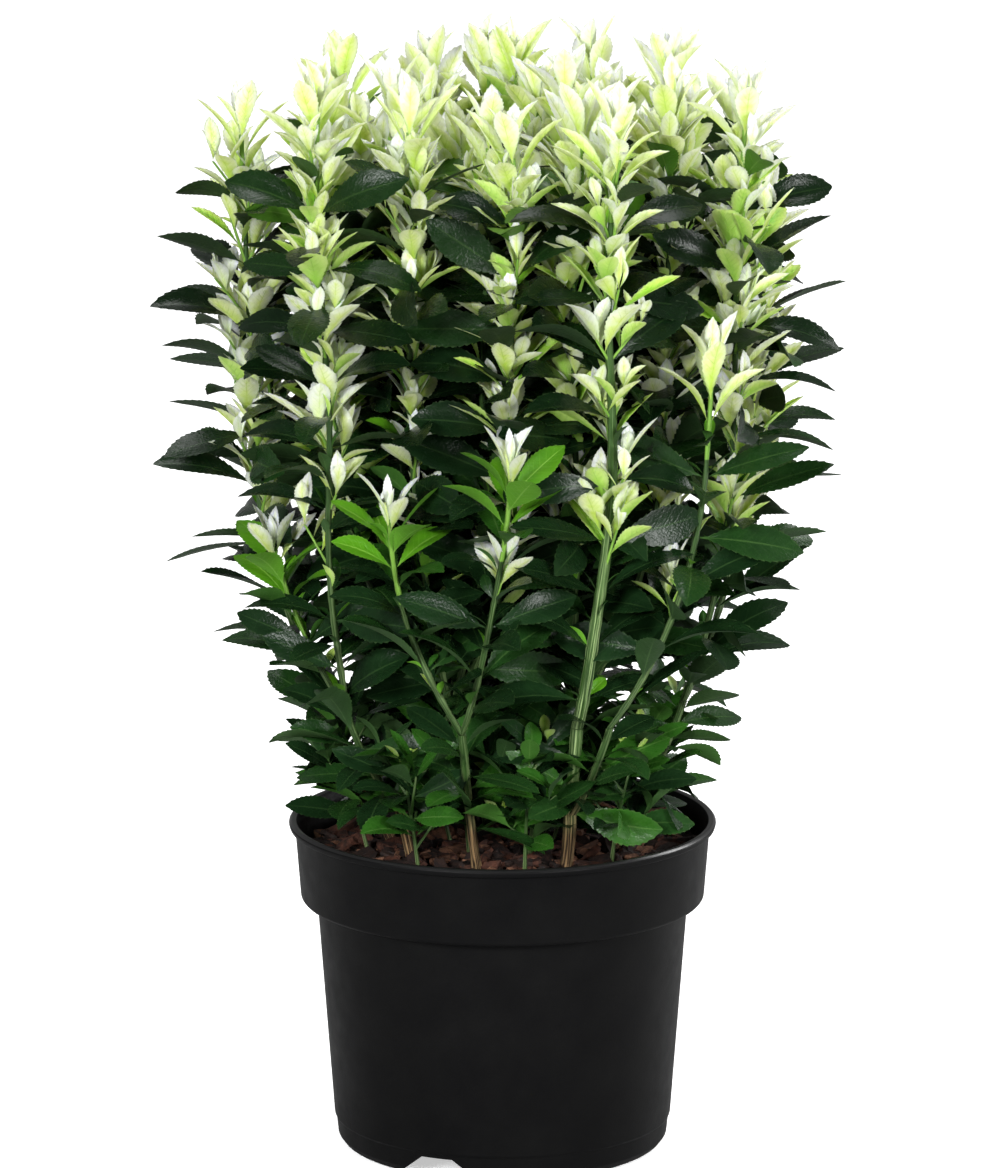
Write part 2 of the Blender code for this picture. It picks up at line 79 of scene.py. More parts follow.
def softbox(name, place, width, height, watts, tint=(1, 1, 1)):
    """A rectangular soft lamp at a place, turned to the middle of the plant."""
    lamp = bpy.data.lights.new(name, "AREA")
    lamp.shape = "RECTANGLE"
    lamp.size = width
    lamp.size_y = height
    lamp.energy = watts
    lamp.color = tint
    hung = bpy.data.objects.new(name, lamp)
    hung.location = place
    hung.rotation_euler = (LOOKED_AT - Vector(place)).to_track_quat("-Z", "Y").to_euler()
    scene.collection.objects.link(hung)


softbox("lamp at the front left", (-1.6, -2.8, 1.45), 0.95, 0.95, 137, (0.98, 0.99, 1.0))
softbox("lamp at the front right", (1.9, -2.6, 1.15), 0.8, 1.0, 103)
softbox("lamp at the right", (1.9, 0.9, 0.9), 0.5, 1.8, 34)

ceiling = bpy.data.objects.new("lit ceiling", bpy.data.lights.new("lit ceiling", "SUN"))
ceiling.data.energy = 1.45
ceiling.data.angle = math.radians(30)
ceiling.rotation_euler = (math.radians(-18), 0, 0)
scene.collection.objects.link(ceiling)

shape = bmesh.new()
bmesh.ops.create_circle(shape, cap_ends=True, segments=96, radius=FLOOR_RADIUS)
floor_mesh = bpy.data.meshes.new("floor")
shape.to_mesh(floor_mesh)
shape.free()
floor = bpy.data.objects.new("floor", floor_mesh)
scene.collection.objects.link(floor)
floor_paint = bpy.data.materials.new("floor_paint")
floor_paint.use_nodes = True
nodes, links = floor_paint.node_tree.nodes, floor_paint.node_tree.links
nodes["Principled BSDF"].inputs["Roughness"].default_value = 0.9
nodes["Principled BSDF"].inputs["Emission Color"].default_value = (1, 1, 1, 1)
seen = nodes.new("ShaderNodeLightPath").outputs["Is Camera Ray"]
for socket, low, high in (("Base Color", 0.40, 0.90), ("Emission Strength", 0.0, 0.52)):
    paint = nodes.new("ShaderNodeMapRange")
    paint.inputs["To Min"].default_value = low
    paint.inputs["To Max"].default_value = high
    links.new(seen, paint.inputs["Value"])
    links.new(paint.outputs["Result"], nodes["Principled BSDF"].inputs[socket])
floor_mesh.materials.append(floor_paint)


# Pot. An injection-moulded tub of matt black polypropylene, thin-walled, with a wide band under a beaded
# lip, a stepped foot ring with three notches through it, and drain holes in its base plate.

POT_HEIGHT = 0.148
POT_SIDES = 144
WALL = 0.0017
RIM_RADIUS = 0.0951
BAND_TOP_RADIUS = 0.0922
BAND_FOOT_RADIUS = 0.0898
BAND_HEIGHT = 0.0360
BODY_TOP_RADIUS = 0.0826
BODY_FOOT_RADIUS = 0.0750
LIP_HEIGHT = 0.0042
FOOT_STEP_HEIGHT = 0.0125
FOOT_RADIUS = 0.0688
FOOT_RING = 0.0026
BASE_PLATE_HEIGHT = 0.0105
NOTCHES = 3
FIRST_NOTCH_AZIMUTH = math.radians(247)
NOTCH_FOOT_WIDTH = 0.046
NOTCH_TOP_WIDTH = 0.0145
DRAIN_HOLES = 6
DRAIN_RADIUS = 0.0055
DRAIN_RING_RADIUS = 0.045
CORNER_ROUNDING = 0.0005
LIP_HIGHLIGHT_HEIGHT = 0.0009


def around(azimuth, radius, height=0.0):
    return Vector((radius * math.cos(azimuth), radius * math.sin(azimuth), height))


def turned(profile, sides, rounding):
    """An open (radius, height) profile from axis to axis, its corners rounded, turned about the Z axis."""
    shape = bmesh.new()
    corners = [shape.verts.new((radius, 0, height)) for radius, height in profile]
    for pair in zip(corners, corners[1:]):
        shape.edges.new(pair)
    if rounding:
        bmesh.ops.bevel(
            shape,
            geom=corners[1:-1],
            offset=rounding,
            segments=3,
            profile=0.5,
            affect="VERTICES",
            material=-1,
        )
    bmesh.ops.spin(
        shape,
        geom=shape.verts[:] + shape.edges[:],
        cent=(0, 0, 0),
        axis=(0, 0, 1),
        angle=2 * math.pi,
        steps=sides,
        use_merge=True,
    )
    bmesh.ops.remove_doubles(shape, verts=shape.verts, dist=1e-6)
    bmesh.ops.recalc_face_normals(shape, faces=shape.faces)
    return shape


def piece(name, shape, materials, sharp_angle=35):
    """A smooth-shaded piece from a bmesh, riding on the plant's one body."""
    mesh = bpy.data.meshes.new(name)
    shape.to_mesh(mesh)
    shape.free()
    for material in materials:
        mesh.materials.append(material)
    mesh.shade_smooth()
    mesh.set_sharp_from_angle(angle=math.radians(sharp_angle))
    made = bpy.data.objects.new(name, mesh)
    scene.collection.objects.link(made)
    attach(made, "root")
    return made


def math_node(nodes, links, operation, *values):
    """A Math node on values or outputs; the sum, product or whatever it works out."""
    node = nodes.new("ShaderNodeMath")
    node.operation = operation
    for socket, value in zip(node.inputs, values):
        if isinstance(value, (int, float)):
            socket.default_value = value
        else:
            links.new(value, socket)
    return node.outputs[0]


def patches_group():
    """Soft patches of a size in metres, as a mask from 0 to 1, for any material."""
    group = bpy.data.node_groups.new("patches", "ShaderNodeTree")
    group.interface.new_socket("Place", in_out="INPUT", socket_type="NodeSocketVector")
    for name, value in (("Size", 0.01), ("Softness", 0.4)):
        socket = group.interface.new_socket(name, in_out="INPUT", socket_type="NodeSocketFloat")
        socket.default_value = value
    group.interface.new_socket("Mask", in_out="OUTPUT", socket_type="NodeSocketFloat")
    nodes, links = group.nodes, group.links
    given = nodes.new("NodeGroupInput")
    result = nodes.new("NodeGroupOutput")
    per_metre = nodes.new("ShaderNodeMath")
    per_metre.operation = "DIVIDE"
    per_metre.inputs[0].default_value = 1
    clouds = nodes.new("ShaderNodeTexNoise")
    clouds.inputs["Detail"].default_value = 3
    half = nodes.new("ShaderNodeMath")
    half.operation = "MULTIPLY"
    half.inputs[1].default_value = 0.5
    low = nodes.new("ShaderNodeMath")
    low.operation = "SUBTRACT"
    low.inputs[0].default_value = 0.5
    high = nodes.new("ShaderNodeMath")
    high.operation = "ADD"
    high.inputs[0].default_value = 0.5
    spread = nodes.new("ShaderNodeMapRange")
    links.new(given.outputs["Size"], per_metre.inputs[1])
    links.new(per_metre.outputs[0], clouds.inputs["Scale"])
    links.new(given.outputs["Place"], clouds.inputs["Vector"])
    links.new(given.outputs["Softness"], half.inputs[0])
    links.new(half.outputs[0], low.inputs[1])
    links.new(half.outputs[0], high.inputs[1])
    links.new(clouds.outputs["Fac"], spread.inputs["Value"])
    links.new(low.outputs[0], spread.inputs["From Min"])
    links.new(high.outputs[0], spread.inputs["From Max"])
    links.new(spread.outputs["Result"], result.inputs["Mask"])
    return group


PATCHES = patches_group()


class Finish:
    """A material under work: its shader, and the few nodes that each finish here is put together from."""

    def __init__(self, name, sockets, stretch=1.0, grain=None):
        self.material = bpy.data.materials.new(name)
        self.material.use_nodes = True
        self.nodes = self.material.node_tree.nodes
        self.links = self.material.node_tree.links
        self.shader = self.nodes["Principled BSDF"]
        for socket, value in sockets.items():
            self.shader.inputs[socket].default_value = value
        self.coordinates = self.nodes.new("ShaderNodeTexCoord")
        self.mapping = self.nodes.new("ShaderNodeMapping")
        self.mapping.inputs["Scale"].default_value = (1, 1, 1 / stretch)
        place = self.coordinates.outputs["Object"]
        if grain:
            own_place = self.nodes.new("ShaderNodeAttribute")
            own_place.attribute_name = grain
            place = own_place.outputs["Vector"]
        self.links.new(place, self.mapping.inputs["Vector"])

    def patches(self, size, softness):
        made = self.nodes.new("ShaderNodeGroup")
        made.node_tree = PATCHES
        made.inputs["Size"].default_value = size
        made.inputs["Softness"].default_value = softness
        self.links.new(self.mapping.outputs["Vector"], made.inputs["Place"])
        return made.outputs["Mask"]

    def between(self, mask, one, other):
        """A colour that goes from one tone to the other with the mask; either tone may be an output."""
        mix = self.nodes.new("ShaderNodeMix")
        mix.data_type = "RGBA"
        self.links.new(mask, mix.inputs["Factor"])
        for socket, tone in ((mix.inputs[6], one), (mix.inputs[7], other)):
            if isinstance(tone, tuple):
                socket.default_value = (*tone, 1)
            else:
                self.links.new(tone, socket)
        return mix.outputs[2]

    def ranged(self, value, low, high, start=0.0, end=1.0):
        """The value's stretch from start to end, spread from low to high."""
        spread = self.nodes.new("ShaderNodeMapRange")
        for socket, number in zip(("From Min", "From Max", "To Min", "To Max"), (start, end, low, high)):
            spread.inputs[socket].default_value = number
        self.links.new(value, spread.inputs["Value"])
        return spread.outputs["Result"]

    def number(self, operation, *values):
        return math_node(self.nodes, self.links, operation, *values)

    def colour(self, output):
        self.links.new(output, self.shader.inputs["Base Color"])

    def roughness(self, output):
        self.links.new(output, self.shader.inputs["Roughness"])

    def relief(self, height, depth):
        bump = self.nodes.new("ShaderNodeBump")
        bump.inputs["Distance"].default_value = depth
        self.links.new(height, bump.inputs["Height"])
        self.links.new(bump.outputs["Normal"], self.shader.inputs["Normal"])


def pot_plastic():
    """Matt black, with a fine moulded grain and a breath of dust in soft patches."""
    work = Finish("pot_black", {"Specular IOR Level": 0.08})
    dust = work.patches(0.020, 0.5)
    work.colour(work.between(dust, (0.0018, 0.0018, 0.0020), (0.0032, 0.0032, 0.0032)))
    work.roughness(work.ranged(work.patches(0.009, 0.6), 0.40, 0.52))
    work.relief(work.patches(0.0009, 0.7), 0.00003)
    return work.material


def lip_plastic():
    """The same plastic, rubbed smooth and glossy along the top of the lip, where it catches a thin line of
    light; its colour there is also painted a little lighter, a painted highlight line.
    """
    work = Finish("pot_lip", {"Specular IOR Level": 0.55, "Roughness": 0.30})
    work.colour(work.between(work.patches(0.020, 0.5), (0.0030, 0.0030, 0.0032), (0.0045, 0.0045, 0.0045)))
    return work.material


def pot_profile():
    """Outside from under the base plate up to the lip, then inside back down to the plate."""
    shoulder = POT_HEIGHT - BAND_HEIGHT
    lip_foot = POT_HEIGHT - LIP_HEIGHT
    inside_foot = BASE_PLATE_HEIGHT + WALL
    return [
        (0, BASE_PLATE_HEIGHT),
        (FOOT_RADIUS - FOOT_RING, BASE_PLATE_HEIGHT),
        (FOOT_RADIUS - FOOT_RING, 0),
        (FOOT_RADIUS, 0),
        (FOOT_RADIUS + 0.0026, 0.0010),
        (FOOT_RADIUS + 0.0048, 0.0040),
        (BODY_FOOT_RADIUS - 0.0006, FOOT_STEP_HEIGHT - 0.0006),
        (BODY_FOOT_RADIUS + 0.0002, FOOT_STEP_HEIGHT + 0.0004),
        (BODY_TOP_RADIUS - 0.0002, shoulder - 0.0030),
        (BODY_TOP_RADIUS + 0.0006, shoulder - 0.0004),
        (BAND_FOOT_RADIUS - 0.0010, shoulder),
        (BAND_FOOT_RADIUS, shoulder + 0.0012),
        (BAND_TOP_RADIUS, lip_foot),
        (RIM_RADIUS - 0.0006, lip_foot + 0.0004),
        (RIM_RADIUS, POT_HEIGHT - 0.0016),
        (RIM_RADIUS - 0.0014, POT_HEIGHT),
        (RIM_RADIUS - 0.0034, POT_HEIGHT - 0.0006),
        (BAND_TOP_RADIUS - WALL, lip_foot - 0.0010),
        (BAND_FOOT_RADIUS - WALL, shoulder + 0.0020),
        (BODY_TOP_RADIUS - WALL, shoulder - 0.0020),
        (BODY_FOOT_RADIUS - WALL, inside_foot + 0.0020),
        (BODY_FOOT_RADIUS - WALL - 0.0020, inside_foot),
        (0, inside_foot),
    ]


def notch_cutter(index):
    """A wedge through the foot ring, wider at the ground."""
    shape = bmesh.new()
    bmesh.ops.create_cube(shape, size=1)
    azimuth = FIRST_NOTCH_AZIMUTH + index * 2 * math.pi / NOTCHES
    for corner in shape.verts:
        width = NOTCH_TOP_WIDTH if corner.co.z > 0 else NOTCH_FOOT_WIDTH
        height = BASE_PLATE_HEIGHT - 0.0003 if corner.co.z > 0 else -0.002
        corner.co = Vector((FOOT_RADIUS + corner.co.x * 0.02, corner.co.y * width, height))
    bmesh.ops.rotate(shape, verts=shape.verts, matrix=Matrix.Rotation(azimuth, 3, "Z"))
    return shape


def drain_cutter(index):
    shape = bmesh.new()
    bmesh.ops.create_cone(
        shape, cap_ends=True, segments=24, radius1=DRAIN_RADIUS, radius2=DRAIN_RADIUS, depth=4 * WALL
    )
    place = around((index + 0.5) * 2 * math.pi / DRAIN_HOLES, DRAIN_RING_RADIUS, BASE_PLATE_HEIGHT)
    bmesh.ops.translate(shape, verts=shape.verts, vec=place)
    return shape


def cut(whole, shapes):
    """Cuts each shape out of a piece, for good."""
    tools = []
    for i, shape in enumerate(shapes):
        mesh = bpy.data.meshes.new(f"cutter {i}")
        shape.to_mesh(mesh)
        shape.free()
        tools.append(bpy.data.objects.new(f"cutter {i}", mesh))
        scene.collection.objects.link(tools[-1])
        taken_out = whole.modifiers.new(f"cut {i}", "BOOLEAN")
        taken_out.operation = "DIFFERENCE"
        taken_out.object = tools[-1]
    graph = bpy.context.evaluated_depsgraph_get()
    finished = bpy.data.meshes.new_from_object(whole.evaluated_get(graph), depsgraph=graph)
    whole.modifiers.clear()
    whole.data = finished
    for tool in tools:
        bpy.data.objects.remove(tool)
    whole.data.shade_smooth()
    whole.data.set_sharp_from_angle(angle=math.radians(35))


pot_shape = turned(pot_profile(), POT_SIDES, CORNER_ROUNDING)
# Faces on top of the lip take the glossier plastic with its painted highlight line.
for face in pot_shape.faces:
    face.material_index = int(face.calc_center_median().z > POT_HEIGHT - LIP_HIGHLIGHT_HEIGHT)
pot = piece("nursery_pot", pot_shape, [pot_plastic(), lip_plastic()])
cut(pot, [notch_cutter(i) for i in range(NOTCHES)] + [drain_cutter(i) for i in range(DRAIN_HOLES)])
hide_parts("pot")


# Bark mulch. Loose chips of composted pine bark, dark red-brown, lie flat and a few deep on the root ball,
# a finger's width below the lip.

BED_HEIGHT = 0.1325
BED_RADIUS = 0.0886
BED_DEPTH = 0.012
BED_RINGS = 16
CHIPS = 1150
CHIP_FORMS = 7
SHORTEST_CHIP, LONGEST_CHIP = 0.0055, 0.0170


def bark_tones(name, dark, light):
    """Red-brown bark in two tones, dull, with a fibrous relief."""
    work = Finish(name, {"Specular IOR Level": 0.3})
    work.colour(work.between(work.patches(0.0030, 0.30), dark, light))
    work.roughness(work.ranged(work.patches(0.002, 0.6), 0.62, 0.95))
    work.relief(work.patches(0.0007, 0.6), 0.00025)
    return work.material


def mulch_bed():
    profile = [(0, BED_HEIGHT)]
    profile += [(BED_RADIUS * (i + 1) / BED_RINGS, BED_HEIGHT) for i in range(BED_RINGS)]
    profile += [(BED_RADIUS - 0.0004, BED_HEIGHT - BED_DEPTH), (0, BED_HEIGHT - BED_DEPTH)]
    shape = turned(profile, 72, 0)
    for corner in shape.verts:
        if corner.co.z > BED_HEIGHT - 0.001 and corner.co.xy.length < BED_RADIUS - 0.001:
            corner.co.z += 0.0018 * noise.noise(corner.co * 120)
    return shape


def as_arrays(shape):
    """A bmesh as plain arrays: corner places, the corners of each face in a row, face starts and slots, and
    the row's place on the surface, where the shape has a map of it."""
    mesh = bpy.data.meshes.new("form")
    shape.to_mesh(mesh)
    shape.free()
    places = np.empty(len(mesh.vertices) * 3)
    mesh.vertices.foreach_get("co", places)
    corners = np.empty(len(mesh.loops), dtype=np.int32)
    mesh.loops.foreach_get("vertex_index", corners)
    starts = np.empty(len(mesh.polygons), dtype=np.int32)
    mesh.polygons.foreach_get("loop_start", starts)
    slots = np.empty(len(mesh.polygons), dtype=np.int32)
    mesh.polygons.foreach_get("material_index", slots)
    surface = np.zeros(len(mesh.loops) * 2)
    if mesh.uv_layers:
        mesh.uv_layers[0].data.foreach_get("uv", surface)
    bpy.data.meshes.remove(mesh)
    return places.reshape(-1, 3), corners, starts, slots, surface


def joined(name, copies, materials, sharp_angle=60, surface_name=None):
    """One piece of many copies, each given as (form's arrays, 3x3 turn and size, place, first slot)."""
    places, corners, starts, slots = [], [], [], []
    place_count = corner_count = 0
    for form, turn, place, first_slot in copies:
        places.append(form[0] @ np.asarray(turn).T + np.asarray(place))
        corners.append(form[1] + place_count)
        starts.append(form[2] + corner_count)
        slots.append(form[3] + first_slot)
        place_count += len(form[0])
        corner_count += len(form[1])
    mesh = bpy.data.meshes.new(name)
    mesh.vertices.add(place_count)
    mesh.loops.add(corner_count)
    mesh.polygons.add(sum(len(s) for s in starts))
    mesh.vertices.foreach_set("co", np.concatenate(places).ravel())
    mesh.loops.foreach_set("vertex_index", np.concatenate(corners))
    mesh.polygons.foreach_set("loop_start", np.concatenate(starts))
    mesh.polygons.foreach_set("material_index", np.concatenate(slots))
    if surface_name:
        surface = mesh.uv_layers.new(name=surface_name)
        surface.data.foreach_set("uv", np.concatenate([form[4] for form, *rest in copies]))
    mesh.update(calc_edges=True)
    mesh.validate()
    for material in materials:
        mesh.materials.append(material)
    mesh.shade_smooth()
    mesh.set_sharp_from_angle(angle=math.radians(sharp_angle))
    made = bpy.data.objects.new(name, mesh)
    scene.collection.objects.link(made)
    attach(made, "root")
    return made


def chip_form(number):
    """A flat, torn flake of bark, one unit long."""
    dice = random.Random(f"chip {number}")
    shape = bmesh.new()
    bmesh.ops.create_cube(shape, size=1)
    bmesh.ops.scale(shape, verts=shape.verts, vec=(1, dice.uniform(0.38, 0.62), dice.uniform(0.16, 0.26)))
    bmesh.ops.subdivide_edges(shape, edges=shape.edges, cuts=1, use_grid_fill=True)
    for corner in shape.verts:
        corner.co.x += dice.uniform(-0.09, 0.09)
        corner.co.y *= 1 - 0.55 * abs(corner.co.x)
        corner.co.y += dice.uniform(-0.05, 0.05)
        corner.co.z += dice.uniform(-0.035, 0.035)
    return as_arrays(shape)


def chip_copies():
    dice = random.Random("chips")
    forms = [chip_form(i) for i in range(CHIP_FORMS)]
    copies = []
    for i in range(CHIPS):
        length = SHORTEST_CHIP + (LONGEST_CHIP - SHORTEST_CHIP) * dice.random() ** 1.6
        radius = (BED_RADIUS - 0.42 * length - 0.001) * math.sqrt(dice.random())
        lift = dice.choice((0.0004, 0.0012, 0.0024, 0.0036))
        place = around(dice.uniform(0, 2 * math.pi), radius, BED_HEIGHT + lift)
        turn = (
            Matrix.Rotation(dice.uniform(0, 2 * math.pi), 3, "Z")
            @ Matrix.Rotation(math.radians(dice.gauss(0, 13)), 3, "Y")
            @ Matrix.Rotation(math.radians(dice.gauss(0, 20)), 3, "X")
        )
        size = Matrix.Diagonal((length, length * dice.uniform(0.8, 1.2), length * dice.uniform(0.7, 1.2)))
        copies.append((dice.choice(forms), turn @ size, place, dice.choice((0, 0, 0, 1, 1, 2))))
    return copies


bed = piece("mulch_bed", mulch_bed(), [bark_tones("bark_peat", (0.006, 0.004, 0.003), (0.020, 0.011, 0.007))])
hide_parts("bark_mulch")
chip_tones = [
    bark_tones("bark_dark", (0.0050, 0.0023, 0.0016), (0.019, 0.0078, 0.0048)),
    bark_tones("bark_red", (0.017, 0.0060, 0.0034), (0.066, 0.0220, 0.0115)),
    bark_tones("bark_torn", (0.048, 0.022, 0.0130), (0.175, 0.0800, 0.0440)),
]
chips = joined("mulch_chips", chip_copies(), chip_tones, 30)
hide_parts("bark_mulch")


# Stems and boughs. Eight green stems with tan corky ridges rise from the bark, flared and woody at the foot.
# Every second one forks into a bough out to the rim of the crown and one in to its heart.

GAP = 0.0003
MULCH_HEIGHT = 0.136
SECTORS = 8
SECTOR = 2 * math.pi / SECTORS
FIRST_AZIMUTH = math.radians(214)
AZIMUTH_PLAY = 0.05
QUARTER_TURN = math.pi / 2
STEM_FOOT_RADIUS = 0.047
STEM_THICKNESS = 0.0028
FOOT_FLARE = 1.5
FORK_RADIUS = 0.056
FORK_HEIGHT = 0.166
BOUGH_THICKNESS = 0.0022
SLIM = 0.76
LIMB_TOP_HEIGHT = 0.204
LIMB_BOW = 0.0020
EDGE_TIP_RADIUS = 0.081
HEART_TIP_RADIUS = 0.040
RING_SPACING = 0.0016
ROOTED = 0.006
LEADING_SECTOR = 2
LEADING_TIP = Vector((0.0325, -0.0662, LIMB_TOP_HEIGHT))


def forks(sector):
    return sector % 2 == 0


def stem_azimuth(sector):
    play = random.Random(f"stem {sector}").uniform(-AZIMUTH_PLAY, AZIMUTH_PLAY)
    return FIRST_AZIMUTH + sector * SECTOR + play


def quarter_azimuth(quarter):
    """Middle of the quarter that sectors 2 * quarter and 2 * quarter + 1 share."""
    return FIRST_AZIMUTH + (2 * quarter + 0.5) * SECTOR


def edge_tip(sector):
    return around(stem_azimuth(sector), EDGE_TIP_RADIUS, LIMB_TOP_HEIGHT)


def heart_tip(quarter):
    return around(quarter_azimuth(quarter), HEART_TIP_RADIUS, LIMB_TOP_HEIGHT)


class Limb:
    """A tapering limb from foot to tip, bowed sideways; taper gives its thickness at a share of its length."""

    def __init__(self, seed, foot, tip, bow, taper):
        self.seed = seed
        self.foot, self.tip, self.bow, self.taper = foot, tip, bow, taper

    def share(self, height):
        return (height - self.foot.z) / (self.tip.z - self.foot.z)

    def grown(self, height):
        share = self.share(height)
        return self.foot.lerp(self.tip, share) + self.bow * 4 * share * (1 - share)

    def thickness(self, height):
        return self.taper(self.share(height))

    def rod(self, sides, spacing, relief, young_length=0.0, bark_slot=0):
        """The limb as a closed rod of level rings, its thickness drawn in and out by its relief.

        It takes the bark's material slot, and the young length at its tip takes slot 1. Its grain is the
        place round it and up it, so that the bark's lines run along it.
        """
        count = max(3, round((self.tip.z - self.foot.z) / spacing))
        shape = bmesh.new()
        bmesh.ops.create_cone(shape, cap_ends=True, segments=sides, radius1=1, radius2=1, depth=1)
        uprights = [edge for edge in shape.edges if abs(edge.verts[0].co.z - edge.verts[1].co.z) > 0.5]
        bmesh.ops.subdivide_edges(shape, edges=uprights, cuts=count - 1)
        grain = shape.verts.layers.float_vector.new("grain")
        for corner in shape.verts:
            level = round((corner.co.z + 0.5) * count)
            height = self.foot.z + (self.tip.z - self.foot.z) * level / count
            side = Vector((corner.co.x, corner.co.y, 0))
            corner[grain] = side * self.thickness(height) + Vector((0, 0, height))
            corner.co = self.grown(height) + side * self.thickness(height) * relief(side, height)
        for face in shape.faces:
            young = young_length and face.calc_center_median().z > self.tip.z - young_length
            face.material_index = 1 if young else bark_slot
        return shape


def corky(depth, seed):
    """Relief of corky bark: broken ridges that run up the limb, as a factor on its thickness."""

    def relief(side, height):
        ridges = noise.noise(Vector((side.x * 3.4, side.y * 3.4, height * 16 + seed)))
        cracks = noise.noise(Vector((side.x * 7.0 + seed, side.y * 7.0, height * 42)))
        return 1 + depth * (ridges + 0.5 * cracks)

    return relief


def gathered(shapes):
    """One bmesh that holds all the shapes."""
    whole = bmesh.new()
    for shape in shapes:
        mesh = bpy.data.meshes.new("part")
        shape.to_mesh(mesh)
        shape.free()
        whole.from_mesh(mesh)
        bpy.data.meshes.remove(mesh)
    return whole


def fork(sector):
    """The fork of a stem. The leading stem forks on its straight way to the tip of the leading bough."""
    if sector == LEADING_SECTOR:
        foot = around(stem_azimuth(sector), STEM_FOOT_RADIUS, MULCH_HEIGHT)
        return foot.lerp(LEADING_TIP, (FORK_HEIGHT - MULCH_HEIGHT) / (LIMB_TOP_HEIGHT - MULCH_HEIGHT))
    return around(stem_azimuth(sector), FORK_RADIUS, FORK_HEIGHT)


def stem(sector):
    azimuth = stem_azimuth(sector)
    dice = random.Random(f"stem bow {sector}")
    foot = around(azimuth, STEM_FOOT_RADIUS, MULCH_HEIGHT - ROOTED)
    sideways = around(azimuth + QUARTER_TURN, dice.uniform(-0.0012, 0.0012))
    top_share = 1.05 if forks(sector) else 0.75
    tip = fork(sector) if forks(sector) else edge_tip(sector)
    bow = sideways if forks(sector) else sideways + around(azimuth, LIMB_BOW)
    thickness = STEM_THICKNESS * (1 if sector == LEADING_SECTOR else SLIM)

    def taper(share):
        flare = (FOOT_FLARE - 1) * max(0.0, 1 - share / 0.25) ** 2
        return thickness * (1 + flare + (top_share - 1) * share)

    return Limb(f"stem {sector}", foot, tip, bow, taper)


def fork_boughs(sector):
    """The boughs of a fork, whose feet grow out of the stem's top: to the crown's rim, and to its heart.

    The leading stem also runs straight on, as stout as before.
    """
    azimuth = stem_azimuth(sector)
    apart = around(azimuth, BOUGH_THICKNESS * 0.8)
    root = fork(sector) - Vector((0, 0, 0.004))

    def slim(share):
        return SLIM * BOUGH_THICKNESS * (1.15 - 0.20 * share)

    def stout(share):
        return BOUGH_THICKNESS * (1.24 - 0.07 * share)

    boughs = [
        Limb(f"edge bough {sector}", root + apart, edge_tip(sector), around(azimuth, LIMB_BOW), slim),
        Limb(f"heart bough {sector}", root - apart, heart_tip(sector // 2), Vector(), slim),
    ]
    if sector == LEADING_SECTOR:
        boughs.append(Limb("leading bough", root, LEADING_TIP, Vector(), stout))
    return boughs


def stem_bark(name, green_tones, corkiness, woody_top):
    """Green young bark with pale corky striations low down, and cracked tan bark below a height."""
    work = Finish(name, {"Specular IOR Level": 0.3}, stretch=50.0, grain="grain")
    green = work.between(work.patches(0.0016, 0.4), *green_tones)
    grain = work.patches(0.0007, 0.14)
    parts = work.nodes.new("ShaderNodeSeparateXYZ")
    work.links.new(work.coordinates.outputs["Object"], parts.inputs["Vector"])
    height = parts.outputs["Z"]
    pale = work.between(grain, (0.060, 0.120, 0.028), (0.330, 0.450, 0.190))
    tan = work.between(grain, (0.020, 0.010, 0.005), (0.270, 0.170, 0.078))
    cork = work.between(work.ranged(height, 0, 1, woody_top - 0.035, woody_top), tan, pale)
    share = work.ranged(height, corkiness, 0.1 * corkiness, 0.24, 0.33)
    striation = work.number("MULTIPLY", work.patches(0.0008, 0.12), share)
    covered = work.number("ADD", striation, work.ranged(height, 0.9, 0, woody_top - 0.035, woody_top))
    covered = work.number("MINIMUM", covered, 1)
    work.colour(work.between(covered, green, cork))
    work.roughness(work.ranged(covered, 0.42, 0.85))
    work.relief(grain, 0.0003)
    return work.material


limbs = [stem(sector) for sector in range(SECTORS)]
# The slim stems and boughs take the bark in darker greens than the leading stem: painted shade. The leading stem
# is also corkier.
stout_bark = stem_bark("bark_of_leading_stem", ((0.015, 0.045, 0.007), (0.045, 0.108, 0.019)), 1.0, 0.185)
slim_bark = stem_bark("bark_green_and_tan", ((0.014, 0.042, 0.007), (0.034, 0.082, 0.015)), 0.3, 0.190)
barks = [stout_bark, slim_bark]
stem_shapes = [
    limb.rod(28, RING_SPACING, corky(0.22, sector * 7.3), bark_slot=int(sector != LEADING_SECTOR))
    for sector, limb in enumerate(limbs)
]
stems = piece("stems", gathered(stem_shapes), barks, 60)
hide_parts(*[f"stem_{sector + 1}" for sector in range(SECTORS)])
forked = [sector for sector in range(SECTORS) if forks(sector)]
forked_limbs = [bough for sector in forked for bough in fork_boughs(sector)]
bough_shapes = [
    limb.rod(20, RING_SPACING, corky(0.14, i * 3.1), bark_slot=int(limb.seed != "leading bough"))
    for i, limb in enumerate(forked_limbs)
]
boughs = piece("boughs", gathered(bough_shapes), barks, 60)
limbs += forked_limbs
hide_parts(*[f"{kind}_bough_{i + 1}" for kind in ("edge", "heart") for i in range(len(forked))])


# Shoots. Long upright green shoots leave the tip of each limb, spread out and settle upright: two from each
# one at the rim of the crown, and six from each one in its heart. They are a little swollen where leaves sit.

